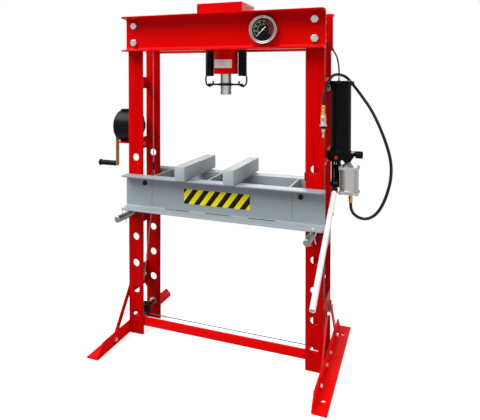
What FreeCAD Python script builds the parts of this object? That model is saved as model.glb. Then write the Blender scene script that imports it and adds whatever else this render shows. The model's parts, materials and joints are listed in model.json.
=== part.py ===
import FreeCAD, Part
import math
import os
import re
from FreeCAD import Placement, Rotation, Vector

# H-frame workshop press with a winch-lifted table and an air-hydraulic pump.
# Millimetres. Ram axis at X = Y = 0, floor at Z = 0, X to the right, Y to the back.

os.makedirs("parts", exist_ok=True)
doc = FreeCAD.newDocument("Press")

# ---------------------------------------------------------------- sizes
SIZES = [
    # posts: two flat bars each, joined by battens across their outer edges
    ("post_centre_x", 530, "post centre from the press centre"),
    ("post_width", 95, "width of a post bar"),
    ("post_thick", 10, "thickness of a post bar"),
    ("post_inner_y", 98, "inner face of the post bars"),
    ("post_bottom_z", 5, "lower end of the post bars"),
    ("post_top_z", 1860, "upper end of the post bars"),
    ("pin_hole_r", 21.5, "pin hole radius"),
    ("pin_hole_top_z", 1054, "height of the top pin hole"),
    ("pin_hole_pitch", 157, "spacing of the pin holes"),
    ("batten_thick", 8, "thickness of a batten"),
    # head and table beams: 200 x 75 channels, flanges outward
    ("beam_over", 55, "beam end from the post centre"),
    ("beam_high", 200, "height of a channel"),
    ("beam_wide", 75, "width of a channel over its flange"),
    ("beam_web", 8.5, "web thickness"),
    ("flange_root", 14, "flange thickness at the web"),
    ("flange_tip", 8.5, "flange thickness at its tip"),
    ("head_low_z", 1675, "underside of the head"),
    ("table_low_z", 754.8, "underside of the table"),
    ("table_slide_gap", 3, "table web to post face, clearance"),
    # head bolts
    ("head_bolt_high_z", 1825, "upper head bolt"),
    ("head_bolt_low_z", 1726, "lower head bolt"),
    ("head_bolt_r", 12, "head bolt shank radius"),
    ("head_bolt_clear", 1.2, "hole radius over shank radius, clearance"),
    ("head_bolt_flats", 36, "across flats"),
    ("head_bolt_head", 15, "bolt head height"),
    ("head_nut_high", 19, "nut height"),
    # cylinder
    ("saddle_half_x", 133, "half length of the saddle"),
    ("saddle_top_z", 1937, "top of the saddle"),
    ("saddle_high", 177, "height of the saddle"),
    ("saddle_wall", 10, "saddle plate thickness"),
    ("barrel_r", 69, "barrel radius"),
    ("barrel_low_z", 1545, "lower end of the barrel"),
    ("barrel_label_low_z", 1579, "lower edge of the blank plate"),
    ("barrel_label_high_z", 1626, "upper edge of the blank plate"),
    ("barrel_label_thick", 0.8, "blank plate thickness"),
    ("barrel_label_half", 52, "half width of the blank plate"),
    ("ram_r", 31, "ram radius"),
    ("ram_clear", 0.3, "barrel bore over ram radius, clearance"),
    ("ram_low_z", 1429, "ram nose"),
    ("barrel_head", 162, "closed top of the barrel"),
    ("ram_room", 20, "bore over the ram at rest"),
    ("ram_groove_z", 1454, "centre of the nose groove"),
    # return springs and yoke
    ("spring_x", 100, "spring axis from the ram axis"),
    ("spring_coil_r", 22, "coil centreline radius"),
    ("spring_wire_r", 3.2, "corner radius of the spring wire"),
    ("spring_low_z", 1530, "lower end of the coil"),
    ("spring_top_z", 1696, "upper end of the coil"),
    ("hanger_drop", 92, "spring hanger rods from the top of the saddle"),
    ("hanger_r", 6, "spring hanger rod radius"),
    ("yoke_z", 1486, "yoke arm height"),
    ("yoke_arm_r", 4.5, "yoke arm radius"),
    ("yoke_arm_y", -9.5, "yoke arms along Y, in front of the spring hooks"),
    ("yoke_ring_r", 40, "yoke ring radius"),
    ("yoke_ring_high", 14, "yoke ring height"),
    ("yoke_eye_r", 10, "yoke eye outer radius"),
    ("yoke_eye_hole_r", 5, "yoke eye hole radius"),
    ("yoke_eye_z", 1476.6, "yoke eye centre height"),
    ("spring_hook_z", 1478, "wire centre of the spring hook in the eye"),
    ("hanger_hook_r", 9.4, "wire centreline radius round the hanger rod"),
    # gauge
    ("gauge_x", 262, "gauge centre"),
    ("gauge_z", 1778, "gauge centre height"),
    ("gauge_bezel_r", 78.5, "bezel radius"),
    ("gauge_case_r", 70, "case radius"),
    ("gauge_dial_r", 63, "dial radius"),
    ("gauge_front_y", -150, "bezel front"),
    ("gauge_bezel_deep", 17, "bezel depth"),
    ("gauge_recess", 8, "depth from bezel front to dial"),
    ("gauge_plate_thick", 3, "gauge plate thickness"),
    # feet
    ("foot_leg", 72, "angle leg"),
    ("foot_thick", 7, "angle thickness"),
    ("foot_half", 425, "half the length of a foot"),
    ("foot_chamfer", 55, "corner cut of the upright leg"),
    ("anchor_x", 616, "anchor hole from the press centre"),
    ("anchor_y", 322, "anchor hole from the ram axis"),
    ("anchor_r", 11, "anchor hole radius"),
    ("brace_wide", 35, "brace width"),
    ("brace_thick", 6, "brace thickness"),
    ("brace_high_y", 58, "upper end of a brace"),
    ("brace_high_z", 296, "upper end of a brace"),
    ("brace_low_y", 252, "lower end of a brace"),
    ("brace_low_z", 31, "lower end of a brace"),
    ("small_bolt_flats", 19, "small bolt across flats"),
    ("small_bolt_head", 8, "small bolt head height"),
    ("base_bar_low_z", 55, "lower edge of the base bar"),
    ("base_bar_high_z", 107, "upper edge of the base bar"),
    ("base_bar_thick", 8, "base bar thickness"),
    # wire ropes and pulleys
    ("rope_r", 3, "wire rope radius"),
    ("rope_outer_x", 563, "outer vertical rope runs"),
    ("rope_inner_x", 460, "inner vertical rope runs"),
    ("lift_rope_y", -20, "plane of the lift rope"),
    ("head_pulley_x", 511.5, "head pulley centre"),
    ("head_pulley_z", 1770, "head pulley height"),
    ("head_rope_r", 51.5, "rope centreline radius on a head pulley"),
    ("base_rope_r", 33, "rope centreline radius on a base pulley"),
    ("base_pulley_z", 112, "base pulley height"),
    ("pulley_wide", 14, "pulley width"),
    ("pulley_groove", 7, "groove width"),
    ("pulley_groove_clear", 0.5, "rope to groove floor, clearance"),
    ("pulley_lip", 5, "lip over the rope centreline"),
    ("head_axle_r", 8, "head pulley axle radius"),
    ("base_shaft_r", 10, "base pulley shaft radius"),
    ("pulley_bore_clear", 0.3, "pulley bore over axle radius, clearance"),
    ("washer_r", 23, "washer radius"),
    ("washer_thick", 4, "washer thickness"),
    # table
    ("cross_plate_thick", 9, "cross plate thickness"),
    ("cross_plate_outer_x", 400, "outer cross plates"),
    ("cross_plate_inner_x", 65, "inner cross plates"),
    ("lift_rod_x", 460, "rope anchor rods"),
    ("lift_rod_z", 909.5, "rope anchor rod height"),
    ("lift_rod_r", 13, "rope anchor rod radius"),
    ("thimble_r", 19, "rope thimble radius"),
    ("support_wide", 60, "support block width"),
    ("support_high", 80, "support block height"),
    ("support_long", 450, "support block length"),
    ("support_left_x", -197, "left support block centre"),
    ("support_right_x", 88, "right support block centre"),
    ("support_y", 25, "support block centre along Y"),
    # support pins
    ("pin_r", 18, "support pin radius"),
    ("pin_front_y", -305, "front end of a pin"),
    ("pin_back_y", 145, "back end of a pin"),
    ("clip_y", -212, "spring clip hole in the pin"),
    ("clip_wire_r", 2.5, "clip wire corner radius"),
    # winch
    ("winch_z", 1227, "winch axis height"),
    ("winch_y", 7, "winch axis along Y"),
    ("housing_r", 97, "winch housing radius"),
    ("housing_in_x", -590, "inner face of the housing"),
    ("housing_out_x", -708, "outer face of the housing"),
    ("drum_in_x", -541, "inner face of the drum"),
    ("drum_out_x", -568.5, "outer face of the drum"),
    ("drum_rope_r", 27, "rope centreline radius on the drum"),
    ("drum_flange_r", 52, "drum flange radius"),
    ("winch_shaft_r", 10, "winch shaft radius"),
    ("crank_x", -731, "middle of the crank arm"),
    ("crank_thick", 6, "crank arm thickness"),
    ("crank_wide", 20, "crank arm width"),
    ("crank_long", 241, "crank arm length"),
    ("crank_pin_r", 5, "crank grip pin radius"),
    ("grip_r", 16, "crank grip radius"),
    ("grip_in_x", -739, "inner end of the grip"),
    ("grip_out_x", -860, "outer end of the grip"),
    ("shelf_top_z", 1130, "top of the winch shelf"),
    ("shelf_out_x", -720, "outer edge of the winch shelf"),
    ("shelf_half_y", 64, "half width of the winch shelf"),
    ("shelf_thick", 6, "winch shelf thickness"),
    # pump
    ("tank_x", 644, "reservoir axis"),
    ("tank_r", 53.5, "reservoir radius"),
    ("tank_low_z", 1137, "lower end of the reservoir"),
    ("tank_high_z", 1490, "upper end of the reservoir"),
    ("cap_r", 63.5, "reservoir cap radius"),
    ("cap_high_z", 1510, "top of the reservoir cap"),
    ("cap_lug_x", 712, "right end of the cap lug"),
    ("block_low_z", 1093, "underside of the pump block"),
    ("block_right_x", 714, "right end of the pump block"),
    ("block_half_y", 50, "half depth of the pump block"),
    ("plug_x", 629, "plug centre"),
    ("plug_z", 1112, "plug height"),
    ("plug_r", 10.5, "plug radius"),
    ("motor_x", 689, "air motor axis"),
    ("motor_r", 43, "air motor body radius"),
    ("motor_plate", 90, "air motor end plate side"),
    ("motor_low_z", 922, "underside of the air motor"),
    ("motor_high_z", 1062, "top of the air motor"),
    ("motor_plate_thick", 14, "air motor end plate thickness"),
    ("neck_x", 682, "neck axis"),
    ("inlet_x", 697, "air inlet axis"),
    ("inlet_r", 10, "air inlet fitting radius"),
    ("inlet_low_z", 875, "lower end of the air inlet fitting"),
    ("lever_x", 622, "pump lever centre"),
    ("lever_y", -10, "pump lever pivot along Y"),
    ("lever_z", 969, "pump lever pivot height"),
    ("lever_pin_r", 7, "pump lever pin radius"),
    ("lever_hub_r", 17, "pump lever hub radius"),
    ("lever_wide", 26, "pump lever width"),
    ("lever_side_gap", 0.5, "lever to cheek, clearance"),
    ("cheek_thick", 8, "lever cheek thickness"),
    ("socket_r", 17.5, "handle socket radius"),
    ("socket_start", 32, "handle socket start from the pivot"),
    ("socket_end", 110, "handle socket end from the pivot"),
    ("handle_r", 13, "handle tube radius"),
    ("handle_wall", 2, "handle tube wall"),
    ("handle_start", 44, "handle tube start from the pivot"),
    ("handle_end", 734, "handle tube end from the pivot"),
    ("handle_drop", 32.9, "handle angle below level, degrees"),
    ("knob_x", 739, "middle of the release knob"),
    ("knob_z", 1126, "release knob height"),
    ("knob_r", 19, "release knob radius"),
    ("knob_long", 37, "release knob length"),
    ("knob_stem_r", 8, "release knob stem radius"),
    # hoses
    ("oil_hose_r", 4, "oil hose radius"),
    ("air_hose_r", 7.8, "air hose radius"),
    ("ferrule_r", 9.5, "hose ferrule radius"),
    ("coupler_r", 13.5, "coupler body radius"),
    ("coupler_flange_r", 18, "coupler flange radius"),
    ("nipple_r", 6, "nipple radius"),
]
SIZE = {alias: value for alias, value, _ in SIZES}

sheet = doc.addObject("Spreadsheet::Sheet", "Sizes")
for row, (alias, value, note) in enumerate(SIZES, start=1):
    sheet.set(f"A{row}", note)
    sheet.set(f"B{row}", str(value))
    sheet.setAlias(f"B{row}", alias)
doc.recompute()

# Batten heights on each post, low and high edge; the lowest one carries the foot.
BATTENS = [(1456, 1527), (1083, 1155), (624, 696), (232, 364), (5, 72)]
PIN_HOLES = 7
PIN_HOLE_IN_USE = 2
TOP_PIN_HOLE = 0

# ---------------------------------------------------------------- helpers
TURN = {
    "X": Rotation(Vector(0, 1, 0), 90),
    "Y": Rotation(Vector(1, 0, 0), -90),
    "Z": Rotation(),
}
NODES = {}


def bind(text):
    """Prefix every sheet alias in an expression with the sheet's name."""
    return re.sub(r"[a-z][a-z0-9_]*", lambda m: ("Sizes." + m.group()) if m.group() in SIZE else m.group(), str(text))


def put(obj, x, y, z, turn=None):
    """Place an object by expressions, turned first."""
    if turn is not None:
        obj.Placement = Placement(Vector(), turn)
    for letter, text in zip("xyz", (x, y, z)):
        obj.setExpression("Placement.Base." + letter, bind(text))
    return obj


def span(side, near, far):
    """Low and high ends of a stretch on the left or front (-1) or right or back (1)."""
    return (near, far) if side > 0 else (f"-({far})", f"-({near})")


def box(xs, ys, zs):
    obj = doc.addObject("Part::Box", "Box")
    for prop, (low, high) in zip(("Length", "Width", "Height"), (xs, ys, zs)):
        obj.setExpression(prop, bind(f"({high}) - ({low})"))
    return put(obj, xs[0], ys[0], zs[0])


def plate(centre, low, high, size_x, size_y):
    """Box centred on an (x, y) point from one height to another."""
    x, y = centre
    xs = (f"({x}) - ({size_x}) / 2", f"({x}) + ({size_x}) / 2")
    ys = (f"({y}) - ({size_y}) / 2", f"({y}) + ({size_y}) / 2")
    return box(xs, ys, (low, high))


def start_point(axis, centre, low):
    """Point at the low end of a rod; centre holds the two other coordinates in X, Y, Z order."""
    a, b = centre
    return {"X": (low, a, b), "Y": (a, low, b), "Z": (a, b, low)}[axis]


def rod(axis, centre, low, high, radius):
    obj = doc.addObject("Part::Cylinder", "Rod")
    obj.setExpression("Radius", bind(radius))
    obj.setExpression("Height", bind(f"({high}) - ({low})"))
    return put(obj, *start_point(axis, centre, low), TURN[axis])


def sided(axis, centre, low, high, radius, sides=16):
    """Rod of a regular many-sided section, for what repeats, turns small or lies hidden."""
    obj = doc.addObject("Part::Prism", "Sided")
    obj.Polygon = sides
    obj.setExpression("Circumradius", bind(radius))
    obj.setExpression("Height", bind(f"({high}) - ({low})"))
    return put(obj, *start_point(axis, centre, low), TURN[axis])


def tapered(x, y, low, high, radius_low, radius_high, sides=16):
    """Upright many-sided rod that widens or narrows, from flat faces."""
    rings = []
    for z, radius in ((low, radius_low), (high, radius_high)):
        turns = [2 * math.pi * k / sides for k in range(sides)]
        rings.append([Vector(x + radius * math.cos(a), y + radius * math.sin(a), z) for a in turns])
    faces = [Part.Face(Part.makePolygon(ring + ring[:1])) for ring in rings]
    for k in range(sides):
        near, far = rings[0][k], rings[0][(k + 1) % sides]
        corners = [near, far, rings[1][(k + 1) % sides], rings[1][k], near]
        faces.append(Part.Face(Part.makePolygon(corners)))
    return moved(Part.Solid(Part.Shell(faces)), 0, 0, 0)


def hexagon(axis, centre, low, high, flats):
    return sided(axis, centre, low, high, f"({flats}) / sqrt(3)", 6)


def cut(base, *tools):
    obj = doc.addObject("Part::Cut", "Cut")
    obj.Base = base
    obj.Tool = tools[0] if len(tools) == 1 else group(*tools)
    return obj


def fuse(*shapes):
    obj = doc.addObject("Part::MultiFuse", "Fuse")
    obj.Shapes = list(shapes)
    obj.Refine = True
    return obj


def group(*solids):
    obj = doc.addObject("Part::Compound", "Group")
    obj.Links = list(solids)
    return obj


def node(name, obj):
    """Name the finished sub-part; its label is its file name."""
    obj.Label = name
    NODES[name] = obj
    return obj


def moved(shape, x, y, z, turn=None):
    """A feature holding a shape made from the sheet's values."""
    obj = doc.addObject("Part::Feature", "Shape")
    obj.Shape = shape
    obj.Placement = Placement(Vector(x, y, z), turn or Rotation())
    return obj


# ---------------------------------------------------------------- wire paths
def biarc(start, start_dir, end, end_dir):
    """Two arcs, or one straight edge, between two points with given directions."""
    chord = end - start
    total = start_dir + end_dir
    if chord.cross(start_dir).Length < 1e-6 * chord.Length and chord.cross(end_dir).Length < 1e-6 * chord.Length:
        return [Part.LineSegment(start, end).toShape()]
    along = chord.dot(total)
    spread = 2 * (1 - start_dir.dot(end_dir))
    reach = chord.dot(chord) / (2 * along) if spread < 1e-9 else (
        (-along + math.sqrt(along * along + spread * chord.dot(chord))) / spread)
    joint = (start + start_dir * reach + end - end_dir * reach) * 0.5
    return [one_arc(start, start_dir, joint), one_arc(joint, joint_dir(start, start_dir, joint), end)]


def joint_dir(start, start_dir, joint):
    """Direction at the end of the arc that leaves start along start_dir."""
    chord = (joint - start).normalize()
    return (chord * 2 * chord.dot(start_dir) - start_dir).normalize()


def one_arc(start, start_dir, end):
    chord = end - start
    unit = Vector(chord).normalize()
    side = start_dir - unit * start_dir.dot(unit)
    if side.Length < 1e-6:
        return Part.LineSegment(start, end).toShape()
    angle = start_dir.getAngle(unit)
    middle = start + chord * 0.5 + side.normalize() * (chord.Length / 2 * math.tan(angle / 2))
    return Part.Arc(start, middle, end).toShape()


def biarc_path(stations):
    """Edges through (point, direction) stations."""
    edges = []
    for (start, start_dir), (end, end_dir) in zip(stations, stations[1:]):
        edges += biarc(start, start_dir, end, end_dir)
    return edges


def rounded_path(points):
    """Straight runs joined by tangent arcs; returns the edges and the smallest arc radius."""
    edges, smallest = [], math.inf
    here = points[0]
    for before, corner, after in zip(points, points[1:], points[2:]):
        incoming, outgoing = corner - before, after - corner
        half_turn = incoming.getAngle(outgoing) / 2
        trim = 0.45 * min(incoming.Length, outgoing.Length)
        smallest = min(smallest, trim / math.tan(half_turn))
        first = corner - Vector(incoming).normalize() * trim
        last = corner + Vector(outgoing).normalize() * trim
        edges.append(Part.LineSegment(here, first).toShape())
        edges.append(one_arc(first, Vector(incoming).normalize(), last))
        here = last
    edges.append(Part.LineSegment(here, points[-1]).toShape())
    return edges, smallest


def sweep_sided(edges, radius, sides=4):
    """Solid tube of a regular many-sided section along the edges."""
    wire = Part.Wire(edges)
    start = edges[0].valueAt(edges[0].FirstParameter)
    ahead = edges[0].tangentAt(edges[0].FirstParameter)
    across = ahead.cross(Vector(0.31, 0.87, 0.38)).normalize()
    up = ahead.cross(across)
    corners = [start + across * (radius * math.cos(2 * math.pi * k / sides)) +
               up * (radius * math.sin(2 * math.pi * k / sides)) for k in range(sides)]
    section = Part.makePolygon(corners + corners[:1])
    return wire.makePipeShell([section], True, False)


def mitred(points, radius, sides=4):
    """Solid bent wire of straight runs with mitred corners."""
    edges = [Part.LineSegment(a, b).toShape() for a, b in zip(points, points[1:])]
    ahead = (points[1] - points[0]).normalize()
    across = ahead.cross(Vector(0.31, 0.87, 0.38)).normalize()
    up = ahead.cross(across)
    corners = [points[0] + across * (radius * math.cos(2 * math.pi * k / sides)) +
               up * (radius * math.sin(2 * math.pi * k / sides)) for k in range(sides)]
    return Part.Wire(edges).makePipeShell([Part.makePolygon(corners + corners[:1])], True, False, 1)


def arc_points(centre, radius, first, last, count, y=0.0):
    """Points on an arc in the X-Z plane, angles in degrees from +X towards +Z."""
    steps = [math.radians(first + (last - first) * k / count) for k in range(count + 1)]
    return [Vector(centre[0] + radius * math.cos(a), y, centre[1] + radius * math.sin(a)) for a in steps]


# ---------------------------------------------------------------- posts
def post_bar(side, depth):
    """One flat bar of a post: pin holes, head bolt holes."""
    x = f"{side} * post_centre_x"
    ys = span(depth, "post_inner_y", "post_inner_y + post_thick")
    drill = (f"({ys[0]}) - 5", f"({ys[1]}) + 5")
    bar = box((f"({x}) - post_width / 2", f"({x}) + post_width / 2"), ys, ("post_bottom_z", "post_top_z"))
    holes = []
    for k in range(PIN_HOLES):
        at = (x, f"pin_hole_top_z - {k} * pin_hole_pitch")
        if k == PIN_HOLE_IN_USE or (k == TOP_PIN_HOLE and depth < 0):
            holes.append(rod("Y", at, *drill, "pin_hole_r"))
        else:
            holes.append(sided("Y", at, *drill, "pin_hole_r"))
    for z in ("head_bolt_high_z", "head_bolt_low_z"):
        holes.append(sided("Y", (x, z), *drill, "head_bolt_r + head_bolt_clear", 8))
    return cut(bar, *holes)


def post_battens():
    """Plates across the outer edges of the post bars."""
    plates = []
    for side in (-1, 1):
        xs = span(side, "post_centre_x + post_width / 2 - batten_thick", "post_centre_x + post_width / 2")
        for low, high in BATTENS:
            plates.append(box(xs, ("-post_inner_y", "post_inner_y"), (low, high)))
    return group(*plates)


for side, side_name in ((-1, "left"), (1, "right")):
    for depth, depth_name in ((-1, "front"), (1, "rear")):
        node(f"post_{side_name}_{depth_name}", post_bar(side, depth))
node("post_battens", post_battens())


# ---------------------------------------------------------------- beams
BEAM_ENDS = ("-(post_centre_x + beam_over)", "post_centre_x + beam_over")


def channel(depth, web_y, low_z):
    """Channel along X with its flanges away from the ram axis."""
    web = box(BEAM_ENDS, span(depth, web_y, f"{web_y} + beam_web"), (low_z, f"{low_z} + beam_high"))
    turn = Rotation(Vector(0, 0, 1), 0 if depth > 0 else 180)
    parts = [web]
    for level in (-1, 1):
        flange = doc.addObject("Part::Wedge", "Flange")
        for prop, text in (("Xmin", BEAM_ENDS[0]), ("Xmax", BEAM_ENDS[1]), ("X2min", BEAM_ENDS[0]),
                           ("X2max", BEAM_ENDS[1]), ("Ymin", "0"), ("Ymax", "beam_wide")):
            flange.setExpression(prop, bind(text))
        thick = ("flange_root", "flange_tip")
        for prop, text in zip(("Zmin", "Z2min"), thick if level > 0 else ("0", "0")):
            flange.setExpression(prop, bind(f"-({text})"))
        for prop, text in zip(("Zmax", "Z2max"), ("0", "0") if level > 0 else thick):
            flange.setExpression(prop, bind(text))
        edge_z = f"{low_z} + beam_high" if level > 0 else low_z
        parts.append(put(flange, "0", f"{depth} * ({web_y})", edge_z, turn))
    return fuse(*parts)


def head_beam(depth):
    web_y = "(post_inner_y + post_thick)"
    drill = span(depth, f"{web_y} - 5", f"{web_y} + beam_web + 5")
    holes = [sided("Y", (f"{side} * post_centre_x", z), *drill, "head_bolt_r + head_bolt_clear", 8)
             for side in (-1, 1) for z in ("head_bolt_high_z", "head_bolt_low_z")]
    return cut(channel(depth, web_y, "head_low_z"), *holes)


def table_beam(depth):
    """Table channel with the holes of the rope anchor rods."""
    web_y = "(post_inner_y + post_thick + table_slide_gap)"
    drill = span(depth, f"{web_y} - 5", f"{web_y} + beam_web + 5")
    holes = [sided("Y", (f"{side} * lift_rod_x", "lift_rod_z"), *drill, "lift_rod_r") for side in (-1, 1)]
    return cut(channel(depth, web_y, "table_low_z"), *holes)


node("head_beam_front", head_beam(-1))
node("head_beam_rear", head_beam(1))
node("table_beam_front", table_beam(-1))
node("table_beam_rear", table_beam(1))


def head_fasteners():
    """Bolts through the webs and post bars, nuts on the inside."""
    solids = []
    outside = "post_inner_y + post_thick + beam_web"
    for side in (-1, 1):
        for depth in (-1, 1):
            for z in ("head_bolt_high_z", "head_bolt_low_z"):
                at = (f"{side} * post_centre_x", z)
                head = hexagon("Y", at, *span(depth, outside, f"{outside} + head_bolt_head"), "head_bolt_flats")
                shank = sided("Y", at, *span(depth, "post_inner_y - head_nut_high - 6", outside), "head_bolt_r", 6)
                nut_span = span(depth, "post_inner_y - head_nut_high", "post_inner_y")
                nut = hexagon("Y", at, *nut_span, "head_bolt_flats")
                solids.append(fuse(head, shank, nut))
    return group(*solids)


node("head_fasteners", head_fasteners())


# ---------------------------------------------------------------- cylinder, ram, springs
HANGER_Z = "(saddle_top_z - hanger_drop)"
BORE_TOP_Z = "(saddle_top_z - saddle_wall - barrel_head)"


def cylinder_saddle():
    """Five plates over the cylinder between the head webs, open below, and the spring hanger rods."""
    half_y = "(post_inner_y + post_thick)"
    zs = ("saddle_top_z - saddle_high", "saddle_top_z - saddle_wall")
    plates = [box(("-saddle_half_x", "saddle_half_x"), (f"-{half_y}", half_y), (zs[1], "saddle_top_z"))]
    for side in (-1, 1):
        plates.append(box(("-saddle_half_x", "saddle_half_x"), span(side, f"{half_y} - saddle_wall", half_y), zs))
        plates.append(box(span(side, "saddle_half_x - saddle_wall", "saddle_half_x"),
                          (f"-{half_y} + saddle_wall", f"{half_y} - saddle_wall"), zs))
        plates.append(sided("Y", (f"{side} * spring_x", HANGER_Z), f"-{half_y} + saddle_wall",
                            f"{half_y} - saddle_wall", "hanger_r", 12))
    return group(*plates)


def cylinder_barrel():
    """Closed barrel with its bore open below and a blank plate on its front."""
    barrel = sided("Z", ("0", "0"), "barrel_low_z", "saddle_top_z - saddle_wall", "barrel_r", 40)
    bore = sided("Z", ("0", "0"), "barrel_low_z - 5", BORE_TOP_Z, "ram_r + ram_clear", 32)
    label_zs = ("barrel_label_low_z", "barrel_label_high_z")
    label = doc.addObject("Part::MultiCommon", "Plate")
    label.Shapes = [sided("Z", ("0", "0"), *label_zs, "barrel_r + barrel_label_thick", 40),
                    box(("-barrel_label_half", "barrel_label_half"), ("-barrel_r - 5", "-ram_r - 9"), label_zs)]
    return fuse(cut(barrel, bore), label)


def ram_rod():
    """Plain ram with a groove near its nose."""
    body = sided("Z", ("0", "0"), "ram_low_z", f"{BORE_TOP_Z} - ram_room", "ram_r", 32)
    band = ("ram_groove_z - 4", "ram_groove_z + 4")
    groove = cut(sided("Z", ("0", "0"), *band, "ram_r + 2", 32), sided("Z", ("0", "0"), *band, "ram_r - 3", 32))
    return cut(body, groove)


def spring_yoke():
    """Ring clamped round the ram, an arm each side and an eye at each arm's end."""
    half = "yoke_ring_high / 2"
    parts = [sided("Z", ("0", "0"), f"yoke_z - {half}", f"yoke_z + {half}", "yoke_ring_r", 32)]
    for side in (-1, 1):
        arm = ("yoke_arm_y", "yoke_z")
        parts.append(sided("X", arm, *span(side, "yoke_ring_r - 6", "spring_x + 6"), "yoke_arm_r", 8))
        parts.append(sided("X", ("0", "yoke_eye_z"), *span(side, "spring_x - 1", "spring_x + 6"), "yoke_eye_r", 12))
    holes = [sided("Z", ("0", "0"), "yoke_z - yoke_ring_high", "yoke_z + yoke_ring_high", "ram_r", 32)]
    for side in (-1, 1):
        holes.append(sided("X", ("0", "yoke_eye_z"), *span(side, "spring_x - 6", "spring_x + 12"),
                           "yoke_eye_hole_r", 8))
    return cut(fuse(*parts), *holes)


def lower_hook():
    """Wire of the right spring from its tip in the yoke's eye up into the coil."""
    x, z, coil_r = SIZE["spring_x"], SIZE["spring_hook_z"], SIZE["spring_coil_r"]
    tip = [Vector(x - 21, 0, z + 28)]
    inner = arc_points((x - 5, z + 16), 16, 180, 270, 4)
    outer = arc_points((x + coil_r - 17, z + 17), 17, 270, 360, 4)
    return tip + inner + outer + [Vector(x + coil_r, 0, SIZE["spring_low_z"] + 4)]


def upper_hook():
    """Wire of the right spring from the top of its coil up and over the hanger rod."""
    x, leg = SIZE["spring_x"], SIZE["hanger_hook_r"]
    hanger = SIZE["saddle_top_z"] - SIZE["hanger_drop"]
    over = arc_points((x, hanger), leg / math.cos(math.pi / 12), 0, 180, 6)
    return [Vector(x + leg, 0, SIZE["spring_top_z"] - 4)] + over + [Vector(x - leg, 0, hanger - 12)]


def spring(side):
    """Extension spring: its close-wound coil as one plain round solid, with both wire hooks."""
    coil = sided("Z", (f"{side} * spring_x", "0"), "spring_low_z", "spring_top_z",
                 "spring_coil_r + spring_wire_r", 24)
    hooks = [moved(mitred([Vector(side * v.x, v.y, v.z) for v in wire], SIZE["spring_wire_r"]), 0, 0, 0)
             for wire in (lower_hook(), upper_hook())]
    return fuse(coil, *hooks)


node("cylinder_saddle", cylinder_saddle())
node("cylinder_barrel", cylinder_barrel())
node("ram_rod", ram_rod())
node("spring_yoke", spring_yoke())
node("spring_left", spring(-1))
node("spring_right", spring(1))


# ---------------------------------------------------------------- gauge
def gauge_plate():
    face = "post_inner_y + post_thick + beam_web"
    return box(("gauge_x - 67", "gauge_x + 81"), span(-1, face, f"{face} + gauge_plate_thick"),
               ("head_low_z + 17", "head_low_z + 184"))


def gauge_case():
    """Case and bezel with the dial at the bottom of an open recess."""
    at = ("gauge_x", "gauge_z")
    back = "-(post_inner_y + post_thick + beam_web + gauge_plate_thick)"
    case = sided("Y", at, "gauge_front_y + gauge_bezel_deep", back, "gauge_case_r", 32)
    bezel = sided("Y", at, "gauge_front_y", "gauge_front_y + gauge_bezel_deep", "gauge_bezel_r", 32)
    recess = sided("Y", at, "gauge_front_y - 5", "gauge_front_y + gauge_recess", "gauge_dial_r", 32)
    return cut(fuse(case, bezel), recess)


def gauge_needle():
    """Needle at zero, lower left, with its hub and short tail."""
    dial_y = "gauge_front_y + gauge_recess"
    hub = rod("Y", ("gauge_x", "gauge_z"), f"{dial_y} - 4", f"{dial_y} - 0.4", "6")
    blade = doc.addObject("Part::Wedge", "Blade")
    for prop, value in (("Xmin", -1), ("Xmax", 1), ("X2min", -3), ("X2max", 3),
                        ("Ymin", 0), ("Ymax", 72), ("Zmin", 0), ("Zmax", 1.2), ("Z2min", 0), ("Z2max", 1.2)):
        setattr(blade, prop, value)
    lay = Rotation(Vector(1, 0, 0), 90)
    aim = Rotation(Vector(0, 1, 0), 45)
    reach = 50 / math.sqrt(2)
    put(blade, f"gauge_x - {reach}", f"{dial_y} - 1.8", f"gauge_z - {reach}", aim.multiply(lay))
    return fuse(hub, blade)


node("gauge_plate", gauge_plate())
node("gauge_case", gauge_case())
node("gauge_needle", gauge_needle())


# ---------------------------------------------------------------- feet
FOOT_IN = "post_centre_x + post_width / 2"


def foot(side):
    """Angle foot: upright leg with cut corners, flat leg with anchor holes."""
    upright = box(span(side, FOOT_IN, f"{FOOT_IN} + foot_thick"), ("-foot_half", "foot_half"), ("0", "foot_leg"))
    flat = box(span(side, FOOT_IN, f"{FOOT_IN} + foot_leg"), ("-foot_half", "foot_half"), ("0", "foot_thick"))
    tools = [rod("Z", (f"{side} * anchor_x", f"{depth} * anchor_y"), "-5", "foot_thick + 5", "anchor_r")
             for depth in (-1, 1)]
    for depth in (-1, 1):
        tool = doc.addObject("Part::Box", "Corner")
        tool.Length, tool.Width, tool.Height = 30, 90, 60
        slope = Rotation(Vector(1, 0, 0), -45)
        turn = slope if depth > 0 else Rotation(Vector(0, 0, 1), 180).multiply(slope)
        x = f"{side} * ({FOOT_IN} + foot_thick / 2) - {depth} * 15"
        tools.append(put(tool, x, f"{depth} * (foot_half - foot_chamfer)", "foot_leg", turn))
    return cut(fuse(upright, flat), *tools)


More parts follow.
